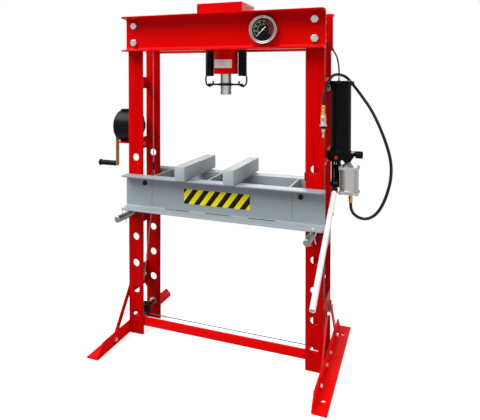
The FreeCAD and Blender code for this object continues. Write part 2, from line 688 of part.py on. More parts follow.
def foot_braces():
    """Flat bars from the lower battens down to the feet."""
    solids = []
    rise, run = SIZE["brace_high_z"] - SIZE["brace_low_z"], SIZE["brace_low_y"] - SIZE["brace_high_y"]
    slope = math.degrees(math.atan2(rise, run))
    ends = 16
    for side in (-1, 1):
        for depth in (-1, 1):
            bar = doc.addObject("Part::Box", "Brace")
            bar.setExpression("Length", bind("brace_thick"))
            bar.setExpression("Width", f"{math.hypot(rise, run) + 2 * ends}")
            bar.setExpression("Height", bind("brace_wide"))
            turn = Rotation(Vector(1, 0, 0), -slope)
            away = Vector(0, math.cos(math.radians(slope)), -math.sin(math.radians(slope)))
            up = Vector(0, math.sin(math.radians(slope)), math.cos(math.radians(slope)))
            shift = away * -ends - up * (SIZE["brace_wide"] / 2)
            outer = f"{FOOT_IN} + foot_thick"
            if depth > 0:
                x = span(side, outer, f"{outer} + brace_thick")[0]
            else:
                turn = Rotation(Vector(0, 0, 1), 180).multiply(turn)
                x = span(side, outer, f"{outer} + brace_thick")[1]
            put(bar, x, f"{depth} * (brace_high_y + {shift.y})", f"brace_high_z + {shift.z}", turn)
            solids.append(bar)
    return group(*solids)


def foot_fasteners():
    """Brace bolts with spacers and nuts, and the bolts that hold each foot to its post."""
    solids = []
    face = f"{FOOT_IN} + foot_thick + brace_thick"
    inner = f"{FOOT_IN} - batten_thick"
    for side in (-1, 1):
        for depth in (-1, 1):
            high = (f"{depth} * brace_high_y", "brace_high_z")
            low = (f"{depth} * brace_low_y", "brace_low_z")
            mid = (f"{depth} * 62", "27")
            head_top = hexagon("X", high, *span(side, face, f"{face} + small_bolt_head"), "small_bolt_flats")
            spacer = sided("X", high, *span(side, FOOT_IN, f"{FOOT_IN} + foot_thick"), "12", 6)
            solids += [head_top, spacer]
            nut_top = hexagon("X", high, *span(side, f"{inner} - small_bolt_head", inner), "small_bolt_flats")
            solids.append(nut_top)
            head_low = hexagon("X", low, *span(side, face, f"{face} + small_bolt_head"), "small_bolt_flats")
            nut_low = hexagon("X", low, *span(side, f"{FOOT_IN} - small_bolt_head", FOOT_IN), "small_bolt_flats")
            solids += [head_low, nut_low]
            leg = f"{FOOT_IN} + foot_thick"
            head_mid = hexagon("X", mid, *span(side, leg, f"{leg} + small_bolt_head"), "small_bolt_flats")
            nut_mid = hexagon("X", mid, *span(side, f"{inner} - small_bolt_head", inner), "small_bolt_flats")
            solids += [head_mid, nut_mid]
    return group(*solids)


def base_bar():
    ys = ("-post_inner_y", "-post_inner_y + base_bar_thick")
    end_x = f"({FOOT_IN} - batten_thick)"
    return box((f"-{end_x}", end_x), ys, ("base_bar_low_z", "base_bar_high_z"))


node("foot_left", foot(-1))
node("foot_right", foot(1))
node("foot_braces", foot_braces())
node("foot_fasteners", foot_fasteners())
node("base_bar", base_bar())


# ---------------------------------------------------------------- pulleys and ropes
def pulley(x, y, z, rope_r, bore_r):
    """Grooved pulley on an axle along Y."""
    at = (x, z)
    ys = (f"({y}) - pulley_wide / 2", f"({y}) + pulley_wide / 2")
    groove_ys = (f"({y}) - pulley_groove / 2", f"({y}) + pulley_groove / 2")
    floor = f"{rope_r} - rope_r - pulley_groove_clear"
    groove = cut(sided("Y", at, *groove_ys, f"{rope_r} + pulley_lip + 2", 20), sided("Y", at, *groove_ys, floor, 20))
    bore = rod("Y", at, f"({ys[0]}) - 2", f"({ys[1]}) + 2", f"{bore_r} + pulley_bore_clear")
    return cut(sided("Y", at, *ys, f"{rope_r} + pulley_lip", 20), groove, bore)


def pulley_shafts():
    """Head axles between the post bars; base shafts clamped in the rear bars' lowest holes."""
    solids = []
    for side in (-1, 1):
        solids.append(sided("Y", (f"{side} * head_pulley_x", "head_pulley_z"), "-post_inner_y", "post_inner_y",
                            "head_axle_r", 12))
        at = (f"{side} * post_centre_x", "base_pulley_z")
        outer = "post_inner_y + post_thick"
        shaft = sided("Y", at, "-25", f"{outer} + 14", "base_shaft_r", 12)
        parts = [shaft]
        for ys, radius in ((("-14", "-9"), "base_shaft_r + 5"), (("9", "14"), "base_shaft_r + 5"),
                           (("post_inner_y - washer_thick", "post_inner_y"), "washer_r"),
                           ((outer, f"{outer} + washer_thick"), "washer_r")):
            parts.append(sided("Y", at, *ys, radius, 12))
        solids.append(fuse(*parts))
    return group(*solids)


def lift_rope():
    """Winch drum over the left head pulley, the stretch that keeps its length."""
    y, wheel_z, r = SIZE["lift_rope_y"], SIZE["head_pulley_z"], SIZE["head_rope_r"]
    outer, inner = -SIZE["rope_outer_x"], -SIZE["rope_inner_x"]
    up = Vector(0, 0, 1)
    return [
        (Vector(outer, y, SIZE["winch_z"]), up),
        (Vector(outer, y, wheel_z), up),
        (Vector((outer + inner) / 2, y, wheel_z + r), Vector(1, 0, 0)),
        (Vector(inner, y, wheel_z), -up),
    ]


def slant_run():
    """Ends of the slanting rope: at the left anchor rod and where it meets the left base pulley."""
    rod_x, rod_z = -SIZE["rope_inner_x"], SIZE["lift_rod_z"]
    wheel_x, wheel_z, r = -SIZE["post_centre_x"], SIZE["base_pulley_z"], SIZE["base_rope_r"]
    lean = 0.0
    for _ in range(20):
        touch = Vector(wheel_x - r * math.cos(lean), 0, wheel_z + r * math.sin(lean))
        lean = math.atan2(rod_x - touch.x, rod_z - touch.z)
    up = Vector(math.sin(lean), 0, math.cos(lean))
    return Vector(rod_x, 0, rod_z) - up * (SIZE["thimble_r"] + 0.2), touch, up


def equaliser_rope():
    """From under the left base pulley to over the right head pulley."""
    _, touch, lean_up = slant_run()
    low_z, wheel_z = SIZE["base_pulley_z"], SIZE["head_pulley_z"]
    small, big = SIZE["base_rope_r"], SIZE["head_rope_r"]
    outer, inner, post = SIZE["rope_outer_x"], SIZE["rope_inner_x"], SIZE["post_centre_x"]
    up, right = Vector(0, 0, 1), Vector(1, 0, 0)
    return [
        (touch, -lean_up),
        (Vector(-post, 0, low_z - small), right),
        (Vector(post, 0, low_z - small), right),
        (Vector(outer, 0, low_z), up),
        (Vector(outer, 0, wheel_z), up),
        (Vector((outer + inner) / 2, 0, wheel_z + big), -right),
        (Vector(inner, 0, wheel_z), -up),
    ]


def rope_on_pulleys():
    ropes = [moved(sweep_sided(biarc_path(stations), SIZE["rope_r"]), 0, 0, 0)
             for stations in (lift_rope(), equaliser_rope())]
    return group(*ropes)


def rope_drop(x, y, low, high):
    """Straight hanging rope from a head pulley to the thimble on its anchor rod."""
    return sided("Z", (x, y), low, high, "rope_r", 6)


ROPE_END_Z = "lift_rod_z + thimble_r"


def equaliser_left():
    """Slanting rope from the left anchor rod down to the left base pulley."""
    start, end, _ = slant_run()
    line = [Part.LineSegment(start, end).toShape()]
    return moved(sweep_sided(line, SIZE["rope_r"], 6), 0, 0, 0)


for side, side_name in ((-1, "left"), (1, "right")):
    head_y = "lift_rope_y" if side < 0 else "0"
    node(f"head_pulley_{side_name}",
         pulley(f"{side} * head_pulley_x", head_y, "head_pulley_z", "head_rope_r", "head_axle_r"))
    node(f"base_pulley_{side_name}",
         pulley(f"{side} * post_centre_x", "0", "base_pulley_z", "base_rope_r", "base_shaft_r"))
node("pulley_shafts", pulley_shafts())
node("rope_on_pulleys", rope_on_pulleys())
node("rope_drop_left", rope_drop("-rope_inner_x", "lift_rope_y", ROPE_END_Z, "head_pulley_z"))
node("rope_drop_right", rope_drop("rope_inner_x", "0", ROPE_END_Z, "head_pulley_z"))
node("rope_left_equaliser", equaliser_left())


# ---------------------------------------------------------------- table
def table_cross_plates():
    half_y = "post_inner_y + post_thick + table_slide_gap"
    solids = []
    for side in (-1, 1):
        for x in ("cross_plate_outer_x", "cross_plate_inner_x"):
            xs = span(side, f"{x} - cross_plate_thick / 2", f"{x} + cross_plate_thick / 2")
            solids.append(box(xs, (f"-({half_y})", half_y), ("table_low_z + 30", "table_low_z + beam_high")))
    return group(*solids)


def table_lift_rods():
    """Rods through the webs with the rope thimbles on them."""
    reach = "post_inner_y + post_thick + table_slide_gap + beam_web + 10"
    solids = []
    for side in (-1, 1):
        at = (f"{side} * lift_rod_x", "lift_rod_z")
        parts = [sided("Y", at, f"-({reach})", reach, "lift_rod_r")]
        for y in (("lift_rope_y", "0") if side < 0 else ("0",)):
            parts.append(sided("Y", at, f"{y} - 6", f"{y} + 6", "thimble_r"))
        solids.append(fuse(*parts))
    return group(*solids)


def support_block(x):
    table_top = "table_low_z + beam_high"
    return plate((x, "support_y"), table_top, f"{table_top} + support_high", "support_wide", "support_long")


node("table_cross_plates", table_cross_plates())
node("table_lift_rods", table_lift_rods())
node("support_block_left", support_block("support_left_x"))
node("support_block_right", support_block("support_right_x"))


# ---------------------------------------------------------------- support pins
def pin_z():
    """Pin resting on the bottom of its hole."""
    return f"pin_hole_top_z - {PIN_HOLE_IN_USE} * pin_hole_pitch - pin_hole_r + pin_r"


def clip_wire(side):
    """Spring clip: straight leg through the pin, ring beside it."""
    z = SIZE["pin_hole_top_z"] - PIN_HOLE_IN_USE * SIZE["pin_hole_pitch"] - SIZE["pin_hole_r"] + SIZE["pin_r"]
    x, y, wall = SIZE["post_centre_x"], SIZE["clip_y"], SIZE["pin_r"]
    low, high = z - wall, z + wall
    wire = [Vector(x, y, low - 24)] + arc_points((x + 14, high + 12), 14, 180, 0, 6, y)
    wire += [Vector(x + 21, y, high - 8), Vector(x + 20, y, z - 4), Vector(x + 27, y, low - 12)]
    return moved(mitred([Vector(side * v.x, v.y, v.z) for v in wire], SIZE["clip_wire_r"]), 0, 0, 0)


def support_pin(side):
    at = (f"{side} * post_centre_x", pin_z())
    pin = sided("Y", at, "pin_front_y", "pin_back_y", "pin_r", 24)
    hole = sided("Z", (f"{side} * post_centre_x", "clip_y"), f"{pin_z()} - 30", f"{pin_z()} + 30",
                 "clip_wire_r + 0.8", 8)
    return group(cut(pin, hole), clip_wire(side))


node("support_pin_left", support_pin(-1))
node("support_pin_right", support_pin(1))


# ---------------------------------------------------------------- winch
WINCH_AT = ("winch_y", "winch_z")


def winch_bracket():
    """Shelf under the housing with a leg down the outer face of the batten."""
    shelf = box(("shelf_out_x", f"-({FOOT_IN})"), ("winch_y - shelf_half_y", "winch_y + shelf_half_y"),
                ("shelf_top_z - shelf_thick", "shelf_top_z"))
    leg = box((f"-({FOOT_IN}) - shelf_thick", f"-({FOOT_IN})"),
              ("winch_y - shelf_half_y", "winch_y + shelf_half_y"), ("shelf_top_z - 45", "shelf_top_z"))
    return fuse(shelf, leg)


def winch_housing():
    body = sided("X", WINCH_AT, "housing_out_x", "housing_in_x", "housing_r", 32)
    bore = sided("X", WINCH_AT, "housing_in_x - 20", "housing_in_x + 5", "winch_shaft_r + 0.7")
    outlet = sided("X", WINCH_AT, "housing_out_x - 5", "housing_out_x + 14", "winch_shaft_r + 0.7")
    return cut(body, bore, outlet)


def winch_drum():
    """Rope drum with its flange and shaft."""
    flange = sided("X", WINCH_AT, "drum_in_x - 4", "drum_in_x", "drum_flange_r", 24)
    core = sided("X", WINCH_AT, "drum_out_x", "drum_in_x", "drum_rope_r - rope_r - 0.4")
    shaft = rod("X", WINCH_AT, "housing_in_x - 15", "drum_in_x", "winch_shaft_r")
    return fuse(flange, core, shaft)


def crank():
    """Crank shaft, flat arm hanging down and the pin of its grip."""
    arm_xs = ("crank_x - crank_thick / 2", "crank_x + crank_thick / 2")
    low = "winch_z - crank_long"
    arm = box(arm_xs, ("winch_y - crank_wide / 2", "winch_y + crank_wide / 2"), (low, "winch_z"))
    shaft = rod("X", WINCH_AT, arm_xs[0], "housing_out_x + 12", "winch_shaft_r")
    top = sided("X", WINCH_AT, *arm_xs, "crank_wide / 2 + 6")
    end = sided("X", ("winch_y", low), *arm_xs, "crank_wide / 2")
    pin = sided("X", ("winch_y", low), "grip_out_x - 5", arm_xs[1], "crank_pin_r", 12)
    stop = sided("X", ("winch_y", low), "grip_out_x - 5", "grip_out_x - 1", "crank_pin_r + 4")
    return fuse(arm, shaft, top, end, pin, stop)


def crank_grip():
    at = ("winch_y", "winch_z - crank_long")
    body = sided("X", at, "grip_out_x", "grip_in_x", "grip_r")
    flange = sided("X", at, "grip_out_x", "grip_out_x + 8", "grip_r + 4")
    bore = rod("X", at, "grip_out_x - 5", "grip_in_x + 5", "crank_pin_r + 0.4")
    return cut(fuse(body, flange), bore)


def bracket_bolts():
    """Bolts with nuts that hold the winch shelf and the pump to their battens."""
    solids = []
    inner = f"{FOOT_IN} - batten_thick"
    places = [(-1, "60", "1111", "shelf_thick"), (-1, "-46", "1111", "shelf_thick"),
              (1, "14", "1473", "0"), (1, "-44", "1473", "0")]
    for side, y, z, stack in places:
        face = f"{FOOT_IN} + {stack}"
        solids.append(hexagon("X", (y, z), *span(side, face, f"{face} + small_bolt_head"), "small_bolt_flats"))
        solids.append(hexagon("X", (y, z), *span(side, f"{inner} - small_bolt_head", inner), "small_bolt_flats"))
    foot_z = "shelf_top_z - shelf_thick"
    solids.append(hexagon("Z", ("-663", "winch_y"), f"{foot_z} - small_bolt_head", foot_z, "small_bolt_flats"))
    return group(*solids)


node("winch_bracket", winch_bracket())
node("winch_housing", winch_housing())
node("winch_drum", winch_drum())
node("crank", crank())
node("crank_grip", crank_grip())
node("bracket_bolts", bracket_bolts())


# ---------------------------------------------------------------- pump
def reservoir():
    """Round tank and its cap with lugs; the left lug reaches the post."""
    tank = sided("Z", ("tank_x", "0"), "tank_low_z", "tank_high_z", "tank_r", 32)
    cap = sided("Z", ("tank_x", "0"), "tank_high_z", "cap_high_z", "cap_r", 32)
    lug = plate(("tank_x + 34", "0"), "tank_high_z + 2", "cap_high_z - 4", "(cap_lug_x - tank_x - 34) * 2", "26")
    arm = box((FOOT_IN, "tank_x - 30"), ("-35", "35"), ("tank_high_z + 2", "cap_high_z - 4"))
    return fuse(tank, cap, lug, arm)


def pump_block():
    """Valve block bolted to the post, with the cheeks of the lever under it."""
    body = box((FOOT_IN, "block_right_x"), ("-block_half_y", "block_half_y"), ("block_low_z", "tank_low_z"))
    parts = [body]
    for side in (-1, 1):
        near = "lever_wide / 2 + lever_side_gap"
        xs = span(side, near, f"{near} + cheek_thick")
        parts.append(box((f"lever_x + {xs[0]}", f"lever_x + {xs[1]}"), ("-24", "26"),
                         ("lever_z - 20", "block_low_z + 5")))
    sleeve = sided("Z", ("lever_x", "14"), "block_low_z - 50", "block_low_z + 2", "12", 12)
    parts.append(sleeve)
    parts.append(sided("X", ("lever_y", "lever_z"), "lever_x - 24", "lever_x + 24", "lever_pin_r", 12))
    return fuse(*parts)


def pump_plug():
    return sided("Y", ("plug_x", "plug_z"), "-block_half_y - 5", "-block_half_y", "plug_r")


def air_motor():
    """Square end plates on a round body, four tie rods and a tapered neck."""
    at = ("motor_x", "0")
    body = sided("Z", at, "motor_low_z + 4", "motor_high_z - 4", "motor_r", 28)
    parts = [body]
    for low, high in (("motor_low_z", "motor_low_z + motor_plate_thick"),
                      ("motor_high_z - motor_plate_thick", "motor_high_z")):
        parts.append(plate(at, low, high, "motor_plate", "motor_plate"))
    for dx in (-1, 1):
        for dy in (-1, 1):
            corner = (f"motor_x + {dx} * (motor_plate / 2 - 8)", f"{dy} * (motor_plate / 2 - 8)")
            parts.append(sided("Z", corner, "motor_low_z - 3", "motor_high_z + 5", "5", 6))
    parts.append(tapered(SIZE["neck_x"], 0, SIZE["motor_high_z"] - 1, SIZE["block_low_z"], 22, 15))
    return fuse(*parts)


def air_inlet():
    at = ("inlet_x", "0")
    body = sided("Z", at, "inlet_low_z", "motor_low_z", "inlet_r")
    collar = sided("Z", at, "inlet_low_z + 20", "inlet_low_z + 32", "inlet_r + 2")
    return fuse(body, collar)


def along_handle(start, end, radius):
    """Sided rod on the handle's axis between two distances from the lever's pivot."""
    drop = math.radians(SIZE["handle_drop"])
    obj = doc.addObject("Part::Prism", "Sided")
    obj.Polygon = 16
    obj.setExpression("Circumradius", bind(radius))
    obj.setExpression("Height", bind(f"{end} - ({start})"))
    down, out = math.sin(drop), math.cos(drop)
    turn = Rotation(Vector(0, 0, 1), Vector(0, -out, -down))
    return put(obj, "lever_x", f"lever_y - ({start}) * {out}", f"lever_z - ({start}) * {down}", turn)


def pump_lever():
    """Hub between the cheeks and a socket for the handle tube."""
    half = "lever_wide / 2"
    hub = sided("X", ("lever_y", "lever_z"), f"lever_x - {half}", f"lever_x + {half}", "lever_hub_r", 20)
    socket = along_handle("socket_start", "socket_end", "socket_r")
    neck = along_handle("0", "socket_start + 4", "lever_wide / 2 - 2")
    body = cut(fuse(hub, neck, socket), along_handle("handle_start", "socket_end + 5", "handle_r"))
    pin = rod("X", ("lever_y", "lever_z"), "lever_x - 30", "lever_x + 30", "lever_pin_r + 0.3")
    return cut(body, pin)


def pump_handle():
    tube = along_handle("handle_start", "handle_end", "handle_r")
    bore = along_handle("handle_start + 20", "handle_end + 5", "handle_r - handle_wall")
    return cut(tube, bore)


def release_knob():
    stem = rod("X", ("0", "knob_z"), "block_right_x", "knob_x - knob_long / 2", "knob_stem_r")
    grip = sided("X", ("0", "knob_z"), "knob_x - knob_long / 2", "knob_x + knob_long / 2", "knob_r", 20)
    return fuse(stem, grip)


node("reservoir", reservoir())
node("pump_block", pump_block())
node("pump_plug", pump_plug())
node("air_motor", air_motor())
node("air_inlet", air_inlet())
node("pump_lever", pump_lever())
node("pump_handle", pump_handle())
node("release_knob", release_knob())


# ---------------------------------------------------------------- hoses
# Oil hose from the cap of the reservoir up into the head and along it to the cylinder.
OIL_ROUTE = [
    (641, -38, 1518), (641, -38, 1560), (634, -18, 1606), (616, 18, 1652), (574, 46, 1700),
    (500, 58, 1752), (380, 58, 1790), (250, 56, 1800), (133, 56, 1800),
]
# Air hose from the motor's inlet, out and up, behind and over the cap, down in front of the post.
AIR_ROUTE = [
    (697, 0, 875), (697, 0, 845), (712, 0, 815), (745, 0, 796), (787, 0, 797), (833, 0, 832),
    (872, 0, 910), (901, 0, 1030), (889, 5, 1148), (812, 40, 1335), (735, 75, 1440), (694, 80, 1492),
    (662, 50, 1535), (622, -25, 1546), (610, -105, 1530), (602, -180, 1490), (592, -216, 1440),
    (592, -216, 1347),
]


HOSE_SIDES = 5


def hose(name, route, radius):
    """Hose of few sides on a rounded route; prints its radii, length and volume check."""
    edges, smallest = rounded_path([Vector(*point) for point in route])
    shape = sweep_sided(edges, radius, HOSE_SIDES)
    length = sum(edge.Length for edge in edges)
    section = HOSE_SIDES / 2 * math.sin(2 * math.pi / HOSE_SIDES) * radius * radius
    ratio = shape.Volume / (section * length)
    print(f"{name}: length {length:.0f} mm, least bend radius {smallest:.0f} mm, volume ratio {ratio:.4f}")
    return moved(shape, 0, 0, 0)


def oil_hose():
    """Hose with its fitting on the cap and at the cylinder saddle."""
    fitting = hexagon("Z", ("641", "-38"), "cap_high_z", "cap_high_z + 12", "14")
    port = sided("X", ("56", "1800"), "saddle_half_x", "saddle_half_x + 24", "9", 8)
    tube = hose("oil hose", OIL_ROUTE, SIZE["oil_hose_r"])
    return fuse(tube, fitting, port)


def air_hose():
    return hose("air hose", AIR_ROUTE, SIZE["air_hose_r"])


END = ("592", "-216")


def hose_ferrule():
    """Ferrule pressed round the end of the hose, which runs through it to the coupler."""
    outside = fuse(sided("Z", END, "1347", "1393", "ferrule_r"),
                   hexagon("Z", END, "1347", "1360", "2 * ferrule_r + 3"))
    return cut(outside, sided("Z", END, "1340", "1400", "air_hose_r + 0.2"))


def air_coupler():
    """Quick coupler: body, flange, tapered collar and nipple."""
    return fuse(sided("Z", END, "1297", "1347", "coupler_r"), sided("Z", END, "1291", "1297", "coupler_flange_r"),
                tapered(592, -216, 1262, 1291, SIZE["nipple_r"] + 1, SIZE["coupler_r"]),
                sided("Z", END, "1232", "1262", "nipple_r", 12))


node("oil_hose", oil_hose())
node("air_hose", air_hose())
node("hose_ferrule", hose_ferrule())
node("air_coupler", air_coupler())

# ---------------------------------------------------------------- check and export
doc.recompute()
for obj in doc.Objects:
    if "Invalid" in obj.State or "Error" in obj.State:
        raise RuntimeError(f"{obj.Name} ({obj.Label}) did not compute")
for name, obj in NODES.items():
    shape = obj.Shape
    if shape.isNull() or not shape.isValid() or not shape.Solids:
        raise RuntimeError(f"{name} has no valid solid")
    shape.exportStep(f"parts/{name}.step")
print(len(NODES), "sub-parts written")
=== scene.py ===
import json
import math
import bmesh
import bpy
from mathutils import Matrix, Vector

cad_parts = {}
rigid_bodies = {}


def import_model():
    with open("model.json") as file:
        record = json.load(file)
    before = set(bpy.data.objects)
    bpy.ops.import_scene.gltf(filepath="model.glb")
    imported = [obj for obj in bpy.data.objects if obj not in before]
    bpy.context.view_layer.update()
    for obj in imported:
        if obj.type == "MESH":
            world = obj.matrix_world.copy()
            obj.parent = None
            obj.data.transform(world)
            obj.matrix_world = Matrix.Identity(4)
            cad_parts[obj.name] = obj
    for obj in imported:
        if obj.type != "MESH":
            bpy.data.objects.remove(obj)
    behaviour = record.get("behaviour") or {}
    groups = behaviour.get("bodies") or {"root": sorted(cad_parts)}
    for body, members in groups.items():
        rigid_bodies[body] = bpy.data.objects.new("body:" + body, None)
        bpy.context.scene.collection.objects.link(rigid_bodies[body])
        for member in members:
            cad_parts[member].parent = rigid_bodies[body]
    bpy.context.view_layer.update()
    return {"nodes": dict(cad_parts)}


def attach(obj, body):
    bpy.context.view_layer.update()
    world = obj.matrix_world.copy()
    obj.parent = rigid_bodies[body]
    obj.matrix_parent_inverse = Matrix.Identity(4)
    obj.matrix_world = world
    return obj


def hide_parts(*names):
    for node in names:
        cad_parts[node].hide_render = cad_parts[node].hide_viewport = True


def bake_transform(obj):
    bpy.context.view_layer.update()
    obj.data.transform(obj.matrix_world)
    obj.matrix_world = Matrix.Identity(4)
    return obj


# Workshop press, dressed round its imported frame. Sizes are millimetres and become metres as each piece is
# made. The ram's axis stands at X = Y = 0, the front is towards -Y, and the floor is Z = 0.
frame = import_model()

# -------- camera
# Stands right of the press at head height, like a view camera: the film stays upright, so the posts
# do too, while the lens axis points down at the middle. The tripod's matrix holds that slant.
CAMERA_AT = (1.0204, -2.6458, 1.5435)
TURN, TILT = 0.3731, math.pi / 2 - 0.0181
ACROSS, RISE, AHEAD = -0.03217, 0.24690, 0.96850


def linked(name, data):
    """A new object in the scene."""
    obj = bpy.data.objects.new(name, data)
    bpy.context.scene.collection.objects.link(obj)
    return obj


camera_data = bpy.data.cameras.new("camera")
camera_data.sensor_width = 36
camera_data.lens = 38.493
camera = linked("camera", camera_data)
tripod = linked("tripod", None)
slant = Matrix(((1, 0, ACROSS, 0), (0, 1, RISE, 0), (0, 0, AHEAD, 0), (0, 0, 0, 1)))
camera.parent = tripod
camera.matrix_parent_inverse = (Matrix.Translation(CAMERA_AT) @ Matrix.Rotation(TURN, 4, "Z")
                                @ Matrix.Rotation(TILT, 4, "X") @ slant)
bpy.context.scene.camera = camera

# -------- air hose
# Black rubber hose from the motor's brass inlet: out, up behind the cap, over it and down in front. It
# hangs free, about 1.39 m long. A brass ferrule is pressed on its end, with a zinc quick coupler that has
# a brass window and a black collar, and a copper-washed nipple.
MM = 0.001
X, Y, Z, FRONT = (1, 0, 0), (0, 1, 0), (0, 0, 1), (0, -1, 0)
AIR_ROUTE = [
    (697, 0, 875), (697, 0, 845), (712, 0, 815), (745, 0, 796), (787, 0, 797), (833, 0, 832),
    (872, 0, 910), (901, 0, 1030), (889, 5, 1148), (812, 40, 1335), (735, 75, 1440), (694, 80, 1492),
    (662, 50, 1535), (622, -25, 1546), (610, -105, 1530), (602, -180, 1490), (592, -216, 1440),
    (592, -216, 1347),
]
HOSE_END = (592, -216, 0)
AIR_HOSE_D = 15.6


def add(tree, kind, inputs=None, **settings):
    """Add a node; inputs take a value or another node's output socket."""
    node = tree.nodes.new(kind)
    for key, value in settings.items():
        setattr(node, key, value)
    for key, value in (inputs or {}).items():
        if isinstance(value, bpy.types.NodeSocket):
            tree.links.new(value, node.inputs[key])
        else:
            node.inputs[key].default_value = value
    return node


def linear(hex_colour):
    """Linear RGBA of an sRGB hex colour."""
    parts = [int(hex_colour[k:k + 2], 16) / 255 for k in (1, 3, 5)]
    return [p / 12.92 if p <= 0.04045 else ((p + 0.055) / 1.055) ** 2.4 for p in parts] + [1]


def two_tone(material, factor, first, second):
    """Colour a finish from first to second by a socket of its own tree."""
    tree = material.node_tree
    mixed = add(tree, "ShaderNodeMix", {"Factor": factor, "A": linear(first), "B": linear(second)},
                data_type="RGBA")
    tree.links.new(mixed.outputs["Result"], tree.nodes["Principled BSDF"].inputs["Base Color"])


def finish(name, colour, roughness, metallic=0.0, shine=0.5, grain=None, worn=None, stretch=(1, 1, 1)):
    """Principled finish for a material slot of the part. grain: (size, height) of bumps; worn: (size,
    second colour, its roughness)."""
    material = bpy.data.materials.new(name)
    material.use_nodes = True
    tree = material.node_tree
    shader = tree.nodes["Principled BSDF"]
    for key, value in (("Base Color", linear(colour)), ("Roughness", roughness), ("Metallic", metallic),
                       ("Specular IOR Level", shine)):
        shader.inputs[key].default_value = value
    if grain or worn:
        coordinates = add(tree, "ShaderNodeTexCoord").outputs["Object"]
        place = add(tree, "ShaderNodeMapping", {"Vector": coordinates, "Scale": stretch}).outputs["Vector"]
    if worn:
        size, second, second_roughness = worn
        patches = add(tree, "ShaderNodeTexNoise", {"Vector": place, "Scale": 1 / (size * MM), "Detail": 4})
        ramp = add(tree, "ShaderNodeMapRange", {"Value": patches.outputs["Fac"], "From Min": 0.42,
                                                "From Max": 0.66}).outputs["Result"]
        two_tone(material, ramp, colour, second)
        rough = add(tree, "ShaderNodeMapRange", {"Value": ramp, "To Min": roughness,
                                                 "To Max": second_roughness})
        tree.links.new(rough.outputs["Result"], shader.inputs["Roughness"])
    if grain:
        size, height = grain
        noise = add(tree, "ShaderNodeTexNoise", {"Vector": place, "Scale": 1 / (size * MM), "Detail": 2})
        bump = add(tree, "ShaderNodeBump", {"Height": noise.outputs["Fac"], "Distance": height * MM,
                                            "Strength": 1.0})
        tree.links.new(bump.outputs["Normal"], shader.inputs["Normal"])
    return material


def as_mesh(name, bm):
    """Clean mesh of a bmesh, from millimetres to metres."""
    bmesh.ops.remove_doubles(bm, verts=bm.verts, dist=0.0005)
    bmesh.ops.recalc_face_normals(bm, faces=bm.faces)
    mesh = bpy.data.meshes.new(name)
    bm.to_mesh(mesh)
    bm.free()
    mesh.transform(Matrix.Scale(MM, 4))
    return mesh


def shown(name, mesh, material, nodes=(), body="frame", smooth=30, slot=None):
    """Make a mesh a piece; body is a name, or a tuple (a, b, start, end) whose values are not used: such a
    piece stays on no body.
    """
    mesh.materials.clear()
    mesh.materials.append(material)
    mesh.shade_smooth()
    mesh.set_sharp_from_angle(angle=math.radians(smooth))
    obj = linked(name, mesh)
    if isinstance(body, str):
        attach(obj, body)
    else:
        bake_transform(obj)
    if nodes:
        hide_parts(*nodes)
    return obj


def piece(name, bm, material, *nodes, **settings):
    return shown(name, as_mesh(name, bm), material, nodes, **settings)


def spread(first, last, steps):
    """Even values from first to last, with both ends among them."""
    return [first + (last - first) * k / steps for k in range(steps + 1)]


def soften(corners, trim=1.0, steps=3, closed=False):
    """Turn the corners of a line of (a, b) or (a, b, own trim) points into short arcs."""
    out, count = [], len(corners)
    for k, corner in enumerate(corners):
        here, before, after = [Vector(corners[n % count][:2]) for n in (k, k - 1, k + 1)]
        reach = min(corner[2] if len(corner) > 2 else trim, (before - here).length * 0.49,
                    (after - here).length * 0.49)
        if reach < 0.01 or (not closed and k in (0, count - 1)):
            out.append(here)
            continue
        first, last = [here + (other - here).normalized() * reach for other in (before, after)]
        for t in spread(0, 1, steps):
            out.append(first * (1 - t) ** 2 + here * 2 * t * (1 - t) + last * t * t)
    return [(p.x, p.y) for p in out]


def skin(bm, rings, closed=False):
    """Faces between rings of equal length (or a single point), with caps on open ends."""
    pairs = list(zip(rings, rings[1:])) + ([(rings[-1], rings[0])] if closed else [])
    for near, far in pairs:
        for k in range(max(len(near), len(far))):
            n = (k + 1) % max(len(near), len(far))
            corners = [near[k % len(near)], near[n % len(near)], far[n % len(far)], far[k % len(far)]]
            bm.faces.new(list(dict.fromkeys(corners)))
    if not closed:
        for ring in (rings[0], rings[-1]):
            if len(ring) > 2:
                bm.faces.new(ring)


def add_lathe(bm, at, axis, outline, trim=0, count=48, steps=3, closed=False):
    """Turned shape from (distance along the axis, radius) points, corners softened by trim. Without a
    trim either number may depend on the angle. A closed outline runs round a bore; others get flat ends."""
    if not closed:
        outline = [(outline[0][0], 0), *outline] + ([(outline[-1][0], 0)] if outline[-1][1] else [])
    axis, at = Vector(axis).normalized(), Vector(at)
    side = Vector(Z) if abs(axis.z) < 0.5 else Vector(X)
    side = (side - axis * side.dot(axis)).normalized()
    up = axis.cross(side)
    turns = spread(0, 2 * math.pi, count)[:-1]
    rings = []
    for along, radius in (soften(outline, trim, steps) if trim else outline):
        if not callable(radius) and radius < 1e-4:
            rings.append([bm.verts.new(at + axis * along)])
            continue
        ring = []
        for angle in turns:
            reach = radius(angle) if callable(radius) else radius
            far = along(angle) if callable(along) else along
            out = side * (reach * math.cos(angle)) + up * (reach * math.sin(angle))
            ring.append(bm.verts.new(at + axis * far + out))
        rings.append(ring)
    skin(bm, rings, closed)


def add_rod(bm, at, axis, start, end, radius, trim=0.6, count=48, bore=0):
    outline = [(start, radius), (end, radius)]
    if bore:
        outline = [(start, bore), *outline, (end, bore)]
    add_lathe(bm, at, axis, outline, trim, count, closed=bore > 0)


